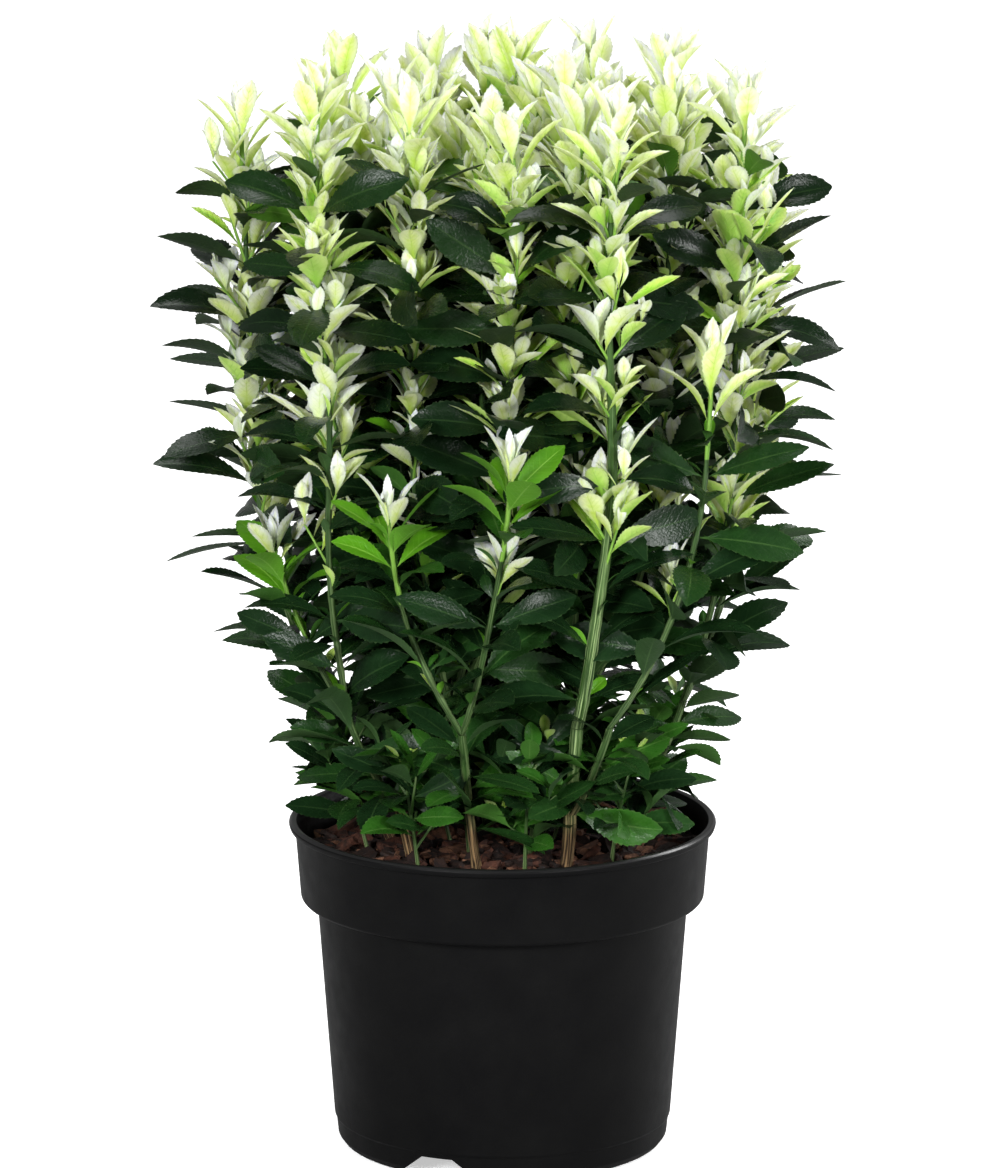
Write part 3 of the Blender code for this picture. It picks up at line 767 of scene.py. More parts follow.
EDGE_RADIUS = 0.107
LOW_RADIUS = 0.115
LOW_LIMIT = 0.42
EDGE_TURN = 0.20
HEART_SHOOTS = (
    (0.028, 0),
    (0.054, -24),
    (0.056, 26),
    (0.077, -35),
    (0.078, 2),
    (0.077, 36),
)
SETTLING = 0.12
FLARE = 0.035
TALL_TOP = 0.486
TALL_SPREAD = 0.018
TIP_RISE = 0.031
WAVE = 0.0018
WAVES_PER_METRE = 6
EDGE_TOPS = (
    (0.306, 0.505),
    (0.332, 0.354),
    (0.498, 0.391),
    (0.501, 0.447),
    (0.484, 0.398),
    (0.356, 0.490),
    (0.482, 0.372),
    (0.441, 0.485),
)
REACH_LINE = (
    (0.150, 0.098),
    (0.185, 0.110),
    (0.225, 0.130),
    (0.250, 0.147),
    (0.270, 0.155),
    (0.400, 0.155),
    (0.440, 0.147),
    (0.520, 0.128),
)
TWIG_THICKNESS = 0.0022
TWIG_TIP_THICKNESS = 0.0009
TWIG_RING_SPACING = 0.0032
INTERNODE = 0.0128
HEART_INTERNODE = 0.0112
TUFT_SPACINGS = (0.0024, 0.0046, 0.0070, 0.0090, 0.0105)
LOW_TUFT_SPACINGS = (0.0024, 0.0042, 0.0050, 0.0056, 0.0064, 0.0080)
LOW_TOP = 0.36
LOWEST_PAIR = 0.209
YOUNG_STALK = 0.034
LEADING_LIMBS = f"stem {LEADING_SECTOR}", "leading bough"
LEADING_SHOOT = f"edge {LEADING_SECTOR} -1"
LEADING_THICKNESS = 0.0026


def along(line, x):
    """The value at x on a line given as (x, value) pairs."""
    for (x0, v0), (x1, v1) in zip(line, line[1:]):
        if x <= x1:
            return v0 + (v1 - v0) * max(0.0, (x - x0) / (x1 - x0))
    return line[-1][1]


class Shoot(Limb):
    """One upright shoot: it leaves foot, settles at an azimuth and radius, and its top leaves end at top."""

    def __init__(self, foot, azimuth, radius, top, seed, internode):
        dice = random.Random(seed)
        self.seed = seed
        self.top, self.internode = top, internode
        self.foot = foot + Vector((0, 0, GAP))
        self.azimuth = azimuth + dice.uniform(-AZIMUTH_PLAY, AZIMUTH_PLAY)
        self.radius = radius + dice.uniform(-0.003, 0.003)
        self.tip = Vector((0, 0, top - TIP_RISE))
        self.wave = dice.uniform(0, 2 * math.pi)
        self.turn = dice.uniform(0, math.pi)
        self.foot_thickness = dice.uniform(0.62, 0.78) * TWIG_THICKNESS
        if seed == LEADING_SHOOT:
            self.foot_thickness = LEADING_THICKNESS
            self.turn = self.azimuth + QUARTER_TURN
        self.heights = self.pair_heights(LOWEST_PAIR)

    def grown(self, height):
        """Where the shoot has grown to at a height: out quickly, then up with a slight flare and wave."""
        risen = height - self.foot.z
        share = min(1.0, max(0.0, risen / SETTLING))
        settled = share * (2 - share)
        target = around(self.azimuth, self.radius + FLARE * max(0.0, risen - SETTLING))
        wave = WAVE * settled * math.sin(self.wave + WAVES_PER_METRE * 2 * math.pi * height)
        place = Vector((self.foot.x, self.foot.y, 0)).lerp(target, settled)
        return place + around(self.azimuth + QUARTER_TURN, wave, height)

    def thickness(self, height):
        share = min(1.0, max(0.0, self.share(height))) ** (1.4 if self.seed == LEADING_SHOOT else 1.0)
        return self.foot_thickness + (TWIG_TIP_THICKNESS - self.foot_thickness) * share

    def pair_heights(self, lowest):
        """Heights of the leaf pairs from the tip down: close together in the tuft, then evenly apart."""
        dice = random.Random(f"nodes {self.seed}")
        spacings = LOW_TUFT_SPACINGS if self.top < LOW_TOP else TUFT_SPACINGS
        heights = [self.tip.z + 0.004]
        while heights[-1] > lowest:
            step = spacings[len(heights) - 1] if len(heights) <= len(spacings) else self.internode
            heights.append(heights[-1] - step * dice.uniform(0.9, 1.1))
        return heights[:-1]

    def knotted(self, side, height):
        """Relief of the stalk: corky, faintly four-sided, swollen below each pair of leaves."""
        nearest = min(abs(height - pair + 0.0008) for pair in self.heights)
        swelling = (0.10 if self.seed == LEADING_SHOOT else 0.24) * max(0.0, 1 - nearest / 0.0030)
        edges = 0.05 * math.cos(4 * math.atan2(side.y, side.x))
        return corky(0.12, self.turn * 11)(side, height) + swelling + edges


def edge_shoots(sector):
    shoots = []
    for side, top in zip((-1, 1), EDGE_TOPS[sector]):
        radius = LOW_RADIUS if top < LOW_LIMIT else EDGE_RADIUS
        azimuth = stem_azimuth(sector) + side * EDGE_TURN
        seed = f"edge {sector} {side}"
        foot = LEADING_TIP if seed == LEADING_SHOOT else edge_tip(sector)
        shoots.append(Shoot(foot, azimuth, radius, top, seed, INTERNODE))
    return shoots


def heart_shoots(quarter):
    shoots = []
    for radius, turn in HEART_SHOOTS:
        seed = f"heart {quarter} {turn}"
        top = TALL_TOP + random.Random(seed).uniform(-TALL_SPREAD, TALL_SPREAD)
        azimuth = quarter_azimuth(quarter) + math.radians(turn)
        shoots.append(Shoot(heart_tip(quarter), azimuth, radius, top, seed, HEART_INTERNODE))
    return shoots


shoots = [shoot for sector in range(SECTORS) for shoot in edge_shoots(sector)]
shoots += [shoot for quarter in range(SECTORS // 2) for shoot in heart_shoots(quarter)]
stalks = [
    shoot.rod(9, TWIG_RING_SPACING, shoot.knotted, YOUNG_STALK, 2 if shoot.seed == LEADING_SHOOT else 0)
    for shoot in shoots
]


# Leaf forms. A full-grown leaf is a stiff, glossy, finely toothed blade on a short stalk, creased along its
# midrib. A young one is thinner, narrower and folded up like a boat. Each kind has a few forms.

LEAF_FORMS = 7
LEAF_COLUMNS = 8
LEAF_HALF_WIDTH = 0.164
YOUNG_COLUMNS = 7
YOUNG_HALF_WIDTH = 0.142
STALK_SHARE = 0.10
TOOTH_DEPTH = 0.015
BLADE_THICKNESS = 0.012


def blade_width(share, lean, roundness):
    """Half the blade's width at a share of its length, 1 at the widest, which lean moves towards the tip."""
    if share < STALK_SHARE:
        return 0.10 * share / STALK_SHARE
    along_blade = (share - STALK_SHARE) / (1 - STALK_SHARE)
    return 0.10 * (1 - along_blade) + 0.95 * math.sin(math.pi * along_blade**lean) ** roundness


def blade_place(flat, columns):
    """Where a corner of the flat grid lies on the blade, and the tooth that it bears.

    The place is the share of the length, and the side: 0 at the midrib and 1 or -1 at the margins.
    """
    column = (flat.x + 1) / 2 * columns
    whole = min(columns - 1, math.floor(column + 1e-4))
    part = column - whole
    tooth = 0.0
    if abs(flat.y) > 0.99 and 0.01 < part < 0.99:
        part = {1: 0.40, 2: 0.50, 3: 0.90}[round(part * 4)]
        tooth = TOOTH_DEPTH if part != 0.50 else 0.0
    if whole == 0:
        return STALK_SHARE * part, flat.y, 0.0
    return STALK_SHARE + (1 - STALK_SHARE) * (whole - 1 + part) / (columns - 1), flat.y, tooth


def leaf_form(columns, half_width, fold, bulge, arch, twist, lean, roundness):
    """A closed, toothed blade one unit long, from its root at the origin out along X.

    Its faces take slot 0 above and 1 underneath, and its map gives the share of the length and the side.
    """
    shape = bmesh.new()
    bmesh.ops.create_grid(shape, x_segments=columns, y_segments=4, size=1)
    margins = [edge for edge in shape.edges if all(abs(corner.co.y) > 0.99 for corner in edge.verts)]
    bmesh.ops.subdivide_edges(shape, edges=margins, cuts=3)
    under = bmesh.ops.duplicate(shape, geom=shape.verts[:] + shape.edges[:] + shape.faces[:])["geom"]
    under_faces = [part for part in under if isinstance(part, bmesh.types.BMFace)]
    bmesh.ops.reverse_faces(shape, faces=under_faces)
    for face in under_faces:
        face.material_index = 1
    for part in under:
        if isinstance(part, bmesh.types.BMVert) and abs(part.co.y) < 0.99:
            part.co.z = -1
    bmesh.ops.remove_doubles(shape, verts=shape.verts, dist=0.001)
    spare = [
        edge
        for edge in shape.edges
        if all(corner.co.z < -0.5 and abs(corner.co.y) > 0.1 for corner in edge.verts)
        and abs(edge.verts[0].co.y - edge.verts[1].co.y) < 0.01
    ]
    bmesh.ops.dissolve_edges(shape, edges=spare, use_verts=True)
    surface = shape.loops.layers.uv.new("blade")
    for face in shape.faces:
        for loop in face.loops:
            share, side, tooth = blade_place(loop.vert.co, columns)
            loop[surface].uv = (share, 0.5 + 0.5 * side)
    for corner in shape.verts:
        share, side, tooth = blade_place(corner.co, columns)
        width = blade_width(share, lean, roundness)
        y = side * half_width * width
        if abs(side) > 0.99:
            y += side * tooth * min(1.0, 2.5 * width)
        z = fold * abs(y)
        if 0.1 < abs(side) < 0.99:
            z += bulge * width
        if corner.co.z < -0.5:
            z -= BLADE_THICKNESS * min(1.0, 3 * width)
        bent = Vector((share, y, z + arch * share * (1 - share)))
        corner.co = Matrix.Rotation(twist * share, 3, "X") @ bent
    bmesh.ops.remove_doubles(shape, verts=shape.verts, dist=0.0004)
    return as_arrays(shape)


def mature_form(number):
    dice = random.Random(f"mature {number}")
    fold, bulge = dice.uniform(0.10, 0.34), dice.uniform(0.006, 0.018)
    arch, twist = dice.uniform(0.18, 0.52), dice.uniform(-0.3, 0.3)
    half_width = LEAF_HALF_WIDTH * dice.uniform(0.88, 1.12)
    return leaf_form(LEAF_COLUMNS, half_width, fold, bulge, arch, twist, dice.uniform(1.1, 1.4), 0.80)


def young_form(number):
    dice = random.Random(f"young {number}")
    fold, bulge = dice.uniform(0.20, 0.60), dice.uniform(0.004, 0.012)
    arch, twist = dice.uniform(0.15, 0.60), dice.uniform(-0.35, 0.35)
    half_width = YOUNG_HALF_WIDTH * dice.uniform(0.85, 1.15)
    return leaf_form(YOUNG_COLUMNS, half_width, fold, bulge, arch, twist, dice.uniform(1.15, 1.4), 0.93)


mature_forms = [mature_form(i) for i in range(LEAF_FORMS)]
young_forms = [young_form(i) for i in range(LEAF_FORMS)]


# Foliage. Leaves stand in opposite pairs, each pair a quarter turn from the last: dark and glossy up the
# shoot, bright green under the tip, lime, cream and white in the tuft. Small pale tufts break from the axils.

DARK, DEEP, GREEN, BRIGHT = range(4)
WHITE, CREAM, LIME, FRESH = range(4)
CELL = 0.0055
LIFTS = (-12, 26)
LOW_LEAF_LIFTS = (-4, 42)
LOW_LEAF_HEIGHT = 0.25
YOUNG_LENGTHS = (0.016, 0.025, 0.031, 0.034, 0.033)
YOUNG_LIFTS = (85, 77, 66, 54, 42)
YOUNG_BREADTHS = (0.85, 0.95, 1.05, 1.1, 1.1)
LOW_YOUNG_LENGTHS = (0.018, 0.025, 0.028)
LOW_YOUNG_LIFTS = (82, 62, 44)
GREEN_LENGTHS = (0.032, 0.034, 0.032, 0.035)
GREEN_LIFTS = (40, 36, 30, 20)
GREEN_TONES = (BRIGHT, BRIGHT, BRIGHT, GREEN)
TIP_TONES = (
    (WHITE, WHITE, WHITE, CREAM, CREAM),
    (WHITE, WHITE, CREAM, CREAM, LIME),
    (WHITE, CREAM, CREAM, LIME, LIME),
    (CREAM, CREAM, LIME, LIME, FRESH),
)
OUTWARD_ROLL = 30
LATE_TUFT_SHOOT, LATE_TUFT_HEIGHT = "edge 1 1", 0.272
BUD_CHANCE = 0.65
POSES_TRIED = (
    (1.0, 0.0, 0),
    (1.0, 0.20, 8),
    (1.0, -0.20, -8),
    (1.0, 0.0, 14),
    (0.92, 0.38, -4),
    (0.92, -0.38, 6),
    (0.85, 0.0, -15),
    (0.70, 0.25, 18),
)

OPEN_DEPTH, OPEN_REACH = 0.055, 0.022

low_tufts = [(shoot.grown(shoot.top - 0.026), shoot.seed) for shoot in shoots if shoot.top < LOW_LIMIT]
low_tufts = [(tuft, name) for tuft, name in low_tufts if tuft.y < 0]
mature_copies, young_copies = [], []
filled = {}


def cells(points):
    return [tuple(math.floor(value / CELL) for value in point) for point in points]


def fill_with(limb, highest):
    """Marks the cells that a limb runs through, so that leaves keep off it."""
    height = limb.foot.z
    while height < highest:
        filled[cells([limb.grown(height)])[0]] = "stalk"
        height += 0.003


def hides_low_tuft(point, owner):
    """Whether a leaf of another shoot would hang in front of a low shoot's tuft, which stands in the open."""
    for tuft, name in low_tufts:
        gap = tuft - point
        if not owner.startswith(name) and 0 < gap.y < OPEN_DEPTH and max(abs(gap.x), abs(gap.z)) < OPEN_REACH:
            return True
    return False


def leaf_turn(azimuth, lift, roll):
    return (
        Matrix.Rotation(azimuth, 3, "Z")
        @ Matrix.Rotation(-math.radians(lift), 3, "Y")
        @ Matrix.Rotation(math.radians(roll), 3, "X")
    )


def hang(kind, dice, root, azimuth, lift, roll, length, width, tone, owner):
    """Adds a leaf where it stays within reach, in whichever of a few poses crosses the fewest others."""
    copies, forms = (mature_copies, mature_forms) if kind == "mature" else (young_copies, young_forms)
    best = None
    for size, swing, more in POSES_TRIED:
        turn = leaf_turn(azimuth + swing, lift + more, roll)
        tip = root + turn @ Vector((length * size, 0, 0))
        if tip.xy.length > along(REACH_LINE, tip.z) or tip.z < 0.146:
            continue
        probes = ((0.35, 0), (0.55, 0.11), (0.55, -0.11), (0.75, 0), (0.97, 0))
        points = [root + turn @ Vector((x * length * size, y * length * size, 0)) for x, y in probes]
        if any(hides_low_tuft(point, owner) for point in points):
            continue
        places = cells(points)
        crossed = sum(1 for place in places if filled.get(place, owner) != owner)
        if best is None or crossed < best[0]:
            best = crossed, turn, size, places
        if crossed == 0:
            break
    if best is None:
        return
    crossed, turn, size, places = best
    for place in places:
        filled[place] = owner
    scale = Matrix.Diagonal((length * size, length * size * width, length * size))
    copies.append((dice.choice(forms), turn @ scale, root, tone * 2))


def hang_pair(kind, dice, limb, height, turn, lift, length, width, tone, owner, roll=14, bare_towards=None):
    """Adds the two opposite leaves of a pair. On a bare-faced limb the ones that point one way have dropped."""
    for side in (0, math.pi):
        azimuth = turn + side + dice.uniform(-0.2, 0.2)
        if bare_towards is not None and math.cos(azimuth - bare_towards) > 0.35:
            continue
        root = limb.grown(height) + around(azimuth, limb.thickness(height) * 0.6)
        leaf_lift = lift + dice.uniform(-6, 6)
        size = length * dice.uniform(0.9, 1.1)
        breadth = width * dice.uniform(0.9, 1.1)
        outward = OUTWARD_ROLL * math.sin(azimuth - math.atan2(root.y, root.x)) if kind == "mature" else 0.0
        leaf_roll = outward + dice.gauss(0, roll)
        hang(kind, dice, root, azimuth, leaf_lift, leaf_roll, size, breadth, tone, f"{owner} {side > 1}")


def side_twig(root, end, thickness, young_length):
    straight = Limb("side twig", root, end, Vector(), lambda share: thickness * (1 - 0.35 * share))
    stalks.append(straight.rod(5, 0.006, lambda side, height: 1, young_length))
    return straight


def tuft_tones(dice):
    """Tones of a side tuft's pairs, from its tip down."""
    pale = dice.random()
    if pale < 0.28:
        return WHITE, WHITE, CREAM
    if pale < 0.62:
        return CREAM, CREAM, LIME
    return CREAM, LIME, FRESH


def hang_tuft(dice, shoot, height, azimuth, owner):
    """A side twig from a leaf's axil, with two or three pairs of small pale leaves; longest on the outside."""
    root = shoot.grown(height) + around(azimuth, shoot.thickness(height) * 0.5)
    outward = max(0.0, math.cos(azimuth - math.atan2(root.y, root.x)))
    lean = math.radians(dice.uniform(50, 74))
    reach = dice.uniform(0.007, 0.017) + 0.009 * outward
    while True:
        end = root + around(azimuth, reach * math.cos(lean), reach * math.sin(lean))
        if end.xy.length + 0.008 < along(REACH_LINE, end.z):
            break
        reach *= 0.7
        if reach < 0.003:
            return
    twig = side_twig(root, end, 0.0009, YOUNG_STALK)
    pairs = 3 if reach > 0.009 else 2
    size = dice.uniform(0.021, 0.032)
    tones = tuft_tones(dice)
    spin = dice.uniform(0, math.pi)
    for i in range(pairs):
        for side in (0, math.pi):
            leaf_azimuth = spin + i * QUARTER_TURN + side + dice.uniform(-0.25, 0.25)
            lift = 76 - 17 * i - 6 * math.cos(leaf_azimuth - azimuth) + dice.uniform(-8, 8)
            length = size * (0.70 + 0.2 * i) * dice.uniform(0.88, 1.12)
            place = end.lerp(root, 0.36 * i)
            name = f"{owner} {i} {side > 1}"
            hang("young", dice, place, leaf_azimuth, lift, dice.gauss(0, 10), length, 1.08, tones[i], name)


def tuft_chance(shoot, height):
    """How likely a tuft is to break from an axil: most under the tip, none low down or in the dark heart."""
    below_tip = (shoot.tip.z - height) / (shoot.tip.z - LOWEST_PAIR)
    hidden = shoot.seed.startswith("heart") and shoot.radius < 0.065 and below_tip > 0.25
    if below_tip > 0.76 or shoot.top < LOW_TOP or hidden:
        return 0.0
    return 0.25 if shoot.top < LOW_LIMIT else 1.0 - 0.65 * below_tip


def dress(shoot):
    """Hangs all the leaves of one shoot."""
    dice = random.Random(f"leaves {shoot.seed}")
    low = shoot.top < LOW_TOP
    hearty = shoot.seed.startswith("heart")
    young_lengths, young_lifts = (LOW_YOUNG_LENGTHS, LOW_YOUNG_LIFTS) if low else (YOUNG_LENGTHS, YOUNG_LIFTS)
    green_pairs = 4 if low else dice.choice((0, 0, 1))
    if low:
        young_tones = WHITE, WHITE, CREAM
    else:
        greenness = 2 if shoot.top < LOW_LIMIT else dice.gauss(1.6 - 11 * shoot.grown(shoot.tip.z).x, 0.8)
        young_tones = TIP_TONES[min(3, max(0, round(greenness)))]
    for i, height in enumerate(shoot.heights):
        owner = f"{shoot.seed} {i}"
        turn = shoot.turn + i * QUARTER_TURN
        older = i - len(young_lengths)
        if older < 0:
            lift, length, width = young_lifts[i], young_lengths[i], YOUNG_BREADTHS[i]
            hang_pair("young", dice, shoot, height, turn, lift, length, width, young_tones[i], owner, 10)
            continue
        bare_towards = shoot.azimuth if shoot.seed == LEADING_SHOOT and older > 1 else None
        if older < green_pairs:
            tone = GREEN_TONES[older]
            lift, length, width = GREEN_LIFTS[older], GREEN_LENGTHS[older], 1.15
        else:
            tone = dice.choice((DARK, DEEP, DEEP, GREEN, BRIGHT) if older < 3 else (DARK, DARK, DARK, DEEP))
            lift = dice.uniform(*(LOW_LEAF_LIFTS if height < LOW_LEAF_HEIGHT else LIFTS))
            if older <= 1 + green_pairs:
                lift = 18
            length, width = 0.044 if older > green_pairs else 0.037, 1.0
            if hearty and older > 3:
                length, width = 0.045, 1.12
        hang_pair("mature", dice, shoot, height, turn, lift, length, width, tone, owner, 24, bare_towards)
        for side in (0, math.pi):
            azimuth = turn + side + dice.uniform(-0.3, 0.3)
            if dice.random() < tuft_chance(shoot, height):
                hang_tuft(dice, shoot, height + 0.001, azimuth, f"{owner} tuft {side > 1}")
            elif dice.random() < BUD_CHANCE:
                root = shoot.grown(height + 0.001) + around(azimuth, shoot.thickness(height) * 0.7)
                lift, length = dice.uniform(30, 65), dice.uniform(0.008, 0.016) * (1.8 if hearty else 1.0)
                fresh = dice.random() < (0.4 if height > 0.33 else 0.08)
                kind, tone = ("young", FRESH) if fresh else ("mature", dice.choice((DEEP, GREEN, BRIGHT)))
                hang(kind, dice, root, azimuth, lift, dice.gauss(0, 20), length, 1.1, tone, owner)


def shoot_named(seed):
    return next(shoot for shoot in shoots if shoot.seed == seed)


def dress_limb(limb):
    """Hangs dark leaves on a stem or bough, from a little above the bark mulch up."""
    dice = random.Random(f"leaves {limb.seed}")
    turn = dice.uniform(0, math.pi)
    height = limb.tip.z - dice.uniform(0.002, 0.008)
    outward = math.atan2(limb.tip.y, limb.tip.x)
    bare_towards = outward if limb.seed in LEADING_LIMBS else None
    while height > max(limb.foot.z, 0.154):
        tone = dice.choice((DARK, DEEP, DEEP, GREEN))
        lift = dice.uniform(-18, 38)
        length = dice.uniform(0.030, 0.042)
        owner = f"{limb.seed} {height}"
        hang_pair("mature", dice, limb, height, turn, lift, length, 1.05, tone, owner, 26, bare_towards)
        turn += QUARTER_TURN
        height -= INTERNODE * dice.uniform(0.42, 0.62)


for limb in limbs:
    fill_with(limb, limb.tip.z)
for shoot in shoots:
    fill_with(shoot, shoot.tip.z - 0.02)
for shoot in shoots:
    dress(shoot)
late_shoot = shoot_named(LATE_TUFT_SHOOT)
hang_tuft(random.Random("late tuft"), late_shoot, LATE_TUFT_HEIGHT, math.radians(-15), f"{LATE_TUFT_SHOOT} late")
for limb in limbs:
    dress_limb(limb)


def blade_group():
    """Masks on a blade's own map: its midrib, the side veins that branch forward from it, and its margin."""
    group = bpy.data.node_groups.new("blade", "ShaderNodeTree")
    group.interface.new_socket("Place", in_out="INPUT", socket_type="NodeSocketVector")
    for name in ("Along", "Outward", "Midrib", "Side veins"):
        group.interface.new_socket(name, in_out="OUTPUT", socket_type="NodeSocketFloat")
    nodes, links = group.nodes, group.links
    given = nodes.new("NodeGroupInput")
    result = nodes.new("NodeGroupOutput")
    parts = nodes.new("ShaderNodeSeparateXYZ")
    links.new(given.outputs["Place"], parts.inputs["Vector"])

    def work(operation, *values):
        return math_node(nodes, links, operation, *values)

    along_blade = parts.outputs["X"]
    outward = work("ABSOLUTE", work("MULTIPLY_ADD", parts.outputs["Y"], 2, -1))
    rib_width = work("MULTIPLY_ADD", along_blade, -0.07, 0.11)
    midrib = work("SUBTRACT", 1, work("DIVIDE", outward, rib_width))
    midrib = work("MULTIPLY", work("MAXIMUM", midrib, 0), 1.6)
    phase = work("MULTIPLY_ADD", outward, -1.5, work("MULTIPLY", along_blade, 9))
    gap = work("PINGPONG", phase, 0.5)
    veins = work("SUBTRACT", 1, work("MULTIPLY", gap, 7))
    veins = work("MULTIPLY", work("MAXIMUM", veins, 0), work("SUBTRACT", 1, work("POWER", outward, 3)))
    links.new(along_blade, result.inputs["Along"])
    links.new(outward, result.inputs["Outward"])
    links.new(work("MINIMUM", midrib, 1), result.inputs["Midrib"])
    links.new(veins, result.inputs["Side veins"])
    return group


BLADE = blade_group()


class LeafFinish(Finish):
    """A leaf's material under work, with the masks of its blade at hand."""

    def __init__(self, name, sockets):
        super().__init__(name, sockets)
        own_map = self.nodes.new("ShaderNodeUVMap")
        own_map.uv_map = "blade"
        blade = self.nodes.new("ShaderNodeGroup")
        blade.node_tree = BLADE
        self.links.new(own_map.outputs["UV"], blade.inputs["Place"])
        self.along_blade, self.outward = blade.outputs["Along"], blade.outputs["Outward"]
        self.midrib, self.veins = blade.outputs["Midrib"], blade.outputs["Side veins"]


def mature_tone(name, base, light, rib_and_edge_highlight, roughness, gloss, vein_strength):
    """A full-grown blade: one deep tone with a faint mottle, paler along the ribs, with a painted highlight line
    along its margin and painted shade that darkens it with height, pebbled between the veins.
    """
    work = LeafFinish(name, {"Specular IOR Level": gloss})
    stalk = work.ranged(work.along_blade, 1, 0, 0.06, 0.16)
    ribs = work.number("MAXIMUM", work.midrib, work.number("MULTIPLY", work.veins, vein_strength))
    ribs = work.number("MAXIMUM", ribs, stalk)
    # A pale line along the margin, in the rib tone: a painted edge highlight.
    ribs = work.number("MAXIMUM", ribs, work.ranged(work.outward, 0, 0.5, 0.94, 1.0))
    blade = work.between(ribs, work.between(work.patches(0.010, 0.5), base, light), rib_and_edge_highlight)
    # The blade darkens towards black from 0.25 m to 0.38 m up: painted shade on the upper leaves.
    parts = work.nodes.new("ShaderNodeSeparateXYZ")
    work.links.new(work.coordinates.outputs["Object"], parts.inputs["Vector"])
    work.colour(work.between(work.ranged(parts.outputs["Z"], 0, 0.54, 0.25, 0.38), blade, (0, 0, 0)))
    work.roughness(work.ranged(work.patches(0.004, 0.6), roughness - 0.05, roughness + 0.08))
    pebbles = work.patches(0.0011, 0.6)
    work.relief(work.number("MULTIPLY_ADD", work.veins, -0.3, pebbles), 0.00012)
    return work.material


def young_tone(name, green, heart, margin, roughness):
    """A young blade: green towards its root and heart, paler to the margin and tip; light glows through it."""
    work = LeafFinish(name, {"Specular IOR Level": 0.35, "Subsurface Weight": 0.6})
    work.shader.inputs["Subsurface Radius"].default_value = (1.0, 1.0, 0.6)
    work.shader.inputs["Subsurface Scale"].default_value = 0.0015
    blotches = work.ranged(work.patches(0.0035, 0.35), -0.22, 0.22)
    to_margin = work.number("MULTIPLY_ADD", work.outward, 0.75, blotches)
    to_tip = work.number("MULTIPLY_ADD", work.along_blade, 0.55, to_margin)
    pale = work.ranged(to_tip, 0, 1, 0.15, 0.95)
    rooted = work.ranged(work.along_blade, 1, 0, 0.08, 0.58)
    ribs = work.number("MULTIPLY", work.midrib, 0.45)
    ribs = work.number("MAXIMUM", ribs, work.number("MULTIPLY", work.veins, 0.25))
    greened = work.number("MAXIMUM", ribs, work.number("MULTIPLY", rooted, 0.8))
    work.colour(work.between(greened, work.between(pale, heart, margin), green))
    work.roughness(work.ranged(work.patches(0.004, 0.6), roughness - 0.05, roughness + 0.07))
    work.relief(work.number("MULTIPLY_ADD", work.veins, -0.8, work.patches(0.0011, 0.6)), 0.00014)
    return work.material


mature_tones = [
    mature_tone("dark_above", (0.0044, 0.0155, 0.0048), (0.0078, 0.0255, 0.0070), (0.020, 0.048, 0.014), 0.23, 0.15, 0.12),
    mature_tone("dark_below", (0.0170, 0.0500, 0.0110), (0.0250, 0.0660, 0.0160), (0.045, 0.100, 0.028), 0.60, 0.30, 0.20),
    mature_tone("deep_above", (0.0072, 0.0285, 0.0058), (0.0125, 0.0440, 0.0084), (0.032, 0.078, 0.018), 0.25, 0.17, 0.14),
    mature_tone("deep_below", (0.0240, 0.0700, 0.0130), (0.0340, 0.0880, 0.0180), (0.060, 0.130, 0.032), 0.60, 0.30, 0.20),
    mature_tone("green_above", (0.0140, 0.0640, 0.0060), (0.0240, 0.0950, 0.0092), (0.060, 0.145, 0.028), 0.28, 0.24, 0.16),
    mature_tone("green_below", (0.0360, 0.1250, 0.0130), (0.0460, 0.1450, 0.0180), (0.080, 0.190, 0.035), 0.60, 0.30, 0.20),
    mature_tone("bright_above", (0.0580, 0.2100, 0.0060), (0.0950, 0.2900, 0.0090), (0.190, 0.400, 0.050), 0.32, 0.34, 0.20),
    mature_tone("bright_below", (0.0950, 0.2900, 0.0150), (0.1250, 0.3500, 0.0220), (0.200, 0.430, 0.060), 0.60, 0.30, 0.25),
]
young_tones = [
    young_tone("white_above", (0.420, 0.590, 0.130), (0.720, 0.800, 0.560), (0.815, 0.838, 0.800), 0.44),
    young_tone("white_below", (0.440, 0.620, 0.120), (0.680, 0.800, 0.420), (0.790, 0.840, 0.680), 0.60),
    young_tone("cream_above", (0.360, 0.540, 0.045), (0.640, 0.745, 0.270), (0.805, 0.832, 0.735), 0.44),
    young_tone("cream_below", (0.380, 0.570, 0.060), (0.620, 0.750, 0.220), (0.770, 0.835, 0.560), 0.60),
    young_tone("lime_above", (0.260, 0.470, 0.025), (0.500, 0.670, 0.100), (0.750, 0.830, 0.480), 0.44),
    young_tone("lime_below", (0.280, 0.500, 0.030), (0.510, 0.680, 0.110), (0.710, 0.810, 0.380), 0.60),
    young_tone("fresh_above", (0.115, 0.360, 0.012), (0.230, 0.520, 0.028), (0.480, 0.710, 0.120), 0.42),
    young_tone("fresh_below", (0.200, 0.440, 0.040), (0.340, 0.590, 0.080), (0.500, 0.710, 0.180), 0.60),
]


# Low sprays. Short leafy twigs stand between the stems at the foot of the clump and branch once, with dark
# leaves and here and there a yellow-green one.

LOW_SPRAY_RADIUS = 0.060
LOW_SPRAY_TIP_RADIUS = 0.072
LOW_SPRAY_TOP = 0.2035
LOW_TWIGS = 5
YELLOWED = 0.25
INNER_SPRAYS, INNER_TWIGS = 6, 3


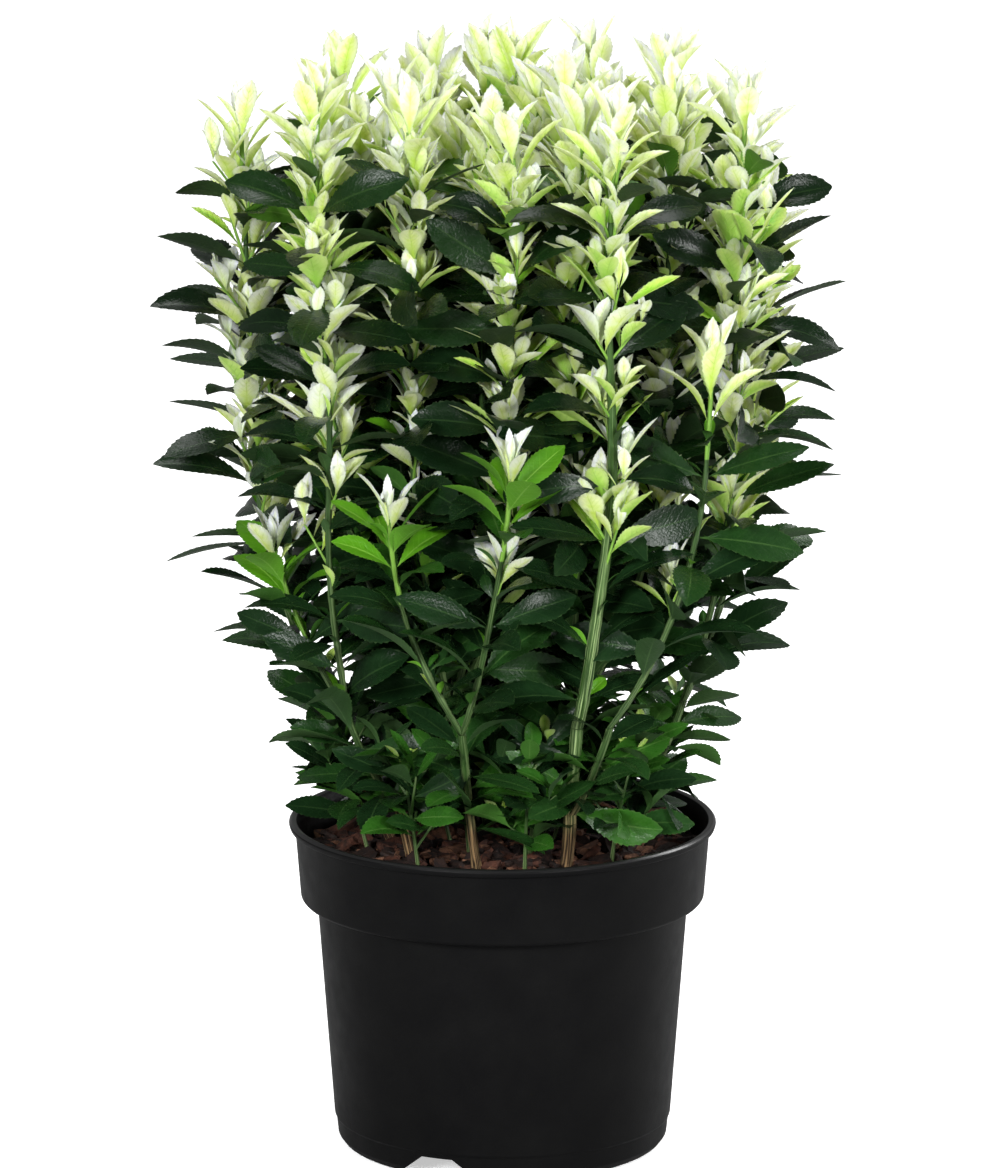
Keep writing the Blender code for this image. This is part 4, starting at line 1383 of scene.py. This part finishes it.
def dress_low_twig(twig, pairs, turn, dice):
    """Hangs leaves on a low twig from its tip down, the top ones smaller and now and then yellow-green."""
    for i in range(pairs):
        height = twig.tip.z - (twig.tip.z - twig.foot.z) * 0.8 * i / pairs
        lift = 48 - 14 * min(i, 3) + dice.uniform(-10, 10)
        length = 0.022 + 0.004 * min(i, 3) + (0.010 if twig.seed.startswith("inner") else 0)
        kind, tone = "mature", dice.choice((DEEP, GREEN) if i == 0 else (DARK, DARK, DEEP, GREEN))
        if i == 0 and dice.random() < YELLOWED:
            kind, tone, length = "young", FRESH, 0.014
        azimuth = turn + i * QUARTER_TURN
        hang_pair(kind, dice, twig, height, azimuth, lift, length, 1.08, tone, f"{twig.seed} {i}", 26)


def dress_spray(name, azimuth, foot_radius, tip_radius, twigs, dice):
    """Grows a low spray: one twig that rises out of the bark, with side twigs and leaves."""
    foot = around(azimuth, foot_radius, MULCH_HEIGHT - 0.004)
    tip = around(azimuth, tip_radius, LOW_SPRAY_TOP - dice.uniform(0.012, 0.026))
    bow = around(azimuth + QUARTER_TURN, dice.uniform(-0.003, 0.003))
    spray = Limb(name, foot, tip, bow, lambda share: 0.0010 - 0.0004 * share)
    stalks.append(spray.rod(7, 0.005, corky(0.2, 1.0)))
    dress_low_twig(spray, 5, dice.uniform(0, math.pi), dice)
    for i in range(twigs):
        height = foot.z + 0.010 + (tip.z - foot.z - 0.014) * (i + 0.5) / twigs
        root = spray.grown(height)
        sideways = azimuth + (-1) ** i * dice.uniform(0.8, 2.7)
        end = root + around(sideways, dice.uniform(0.012, 0.024), dice.uniform(0.008, 0.022))
        if end.xy.length > along(REACH_LINE, end.z) - 0.014:
            continue
        twig = side_twig(root, end, 0.0008, 0)
        twig.seed = f"{spray.seed} twig {i}"
        dress_low_twig(twig, 3, sideways + 0.8, dice)


for sector in range(SECTORS):
    dice = random.Random(f"low spray {sector}")
    azimuth = FIRST_AZIMUTH + (sector + dice.uniform(0.35, 0.65)) * SECTOR
    dress_spray(f"low spray {sector}", azimuth, LOW_SPRAY_RADIUS, LOW_SPRAY_TIP_RADIUS, LOW_TWIGS, dice)
for i in range(INNER_SPRAYS):
    dice = random.Random(f"inner spray {i}")
    azimuth = (i + dice.uniform(-0.2, 0.2)) * 2 * math.pi / INNER_SPRAYS
    dress_spray(f"inner spray {i}", azimuth, 0.022, 0.034, INNER_TWIGS, dice)

mass_nodes = [f"edge_foliage_{sector + 1}" for sector in range(SECTORS)]
mass_nodes += [f"heart_foliage_{quarter + 1}" for quarter in range(SECTORS // 2)]
mass_nodes += [f"low_spray_{sector + 1}" for sector in range(SECTORS)]
# The twigs' bark is darker still: painted shade.
twig_bark = stem_bark("bark_of_twigs", ((0.010, 0.036, 0.005), (0.028, 0.072, 0.012)), 0.3, 0.145)
young_bark = stem_bark("bark_of_young_tips", ((0.090, 0.220, 0.024), (0.200, 0.370, 0.055)), 0.0, 0.145)
twigs = piece("twigs", gathered(stalks), [twig_bark, young_bark, stout_bark], 60)
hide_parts(*mass_nodes)

MOST_COPIES = 900
for kind, copies, tones, slot in (
    ("leaves_dark", mature_copies, mature_tones, "leaf_dark"),
    ("leaves_pale", young_copies, young_tones, "leaf_pale"),
):
    for first in range(0, len(copies), MOST_COPIES):
        name = f"{kind}_{first // MOST_COPIES + 1}"
        leaves = joined(name, copies[first : first + MOST_COPIES], tones, 60, "blade")
        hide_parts(*mass_nodes)
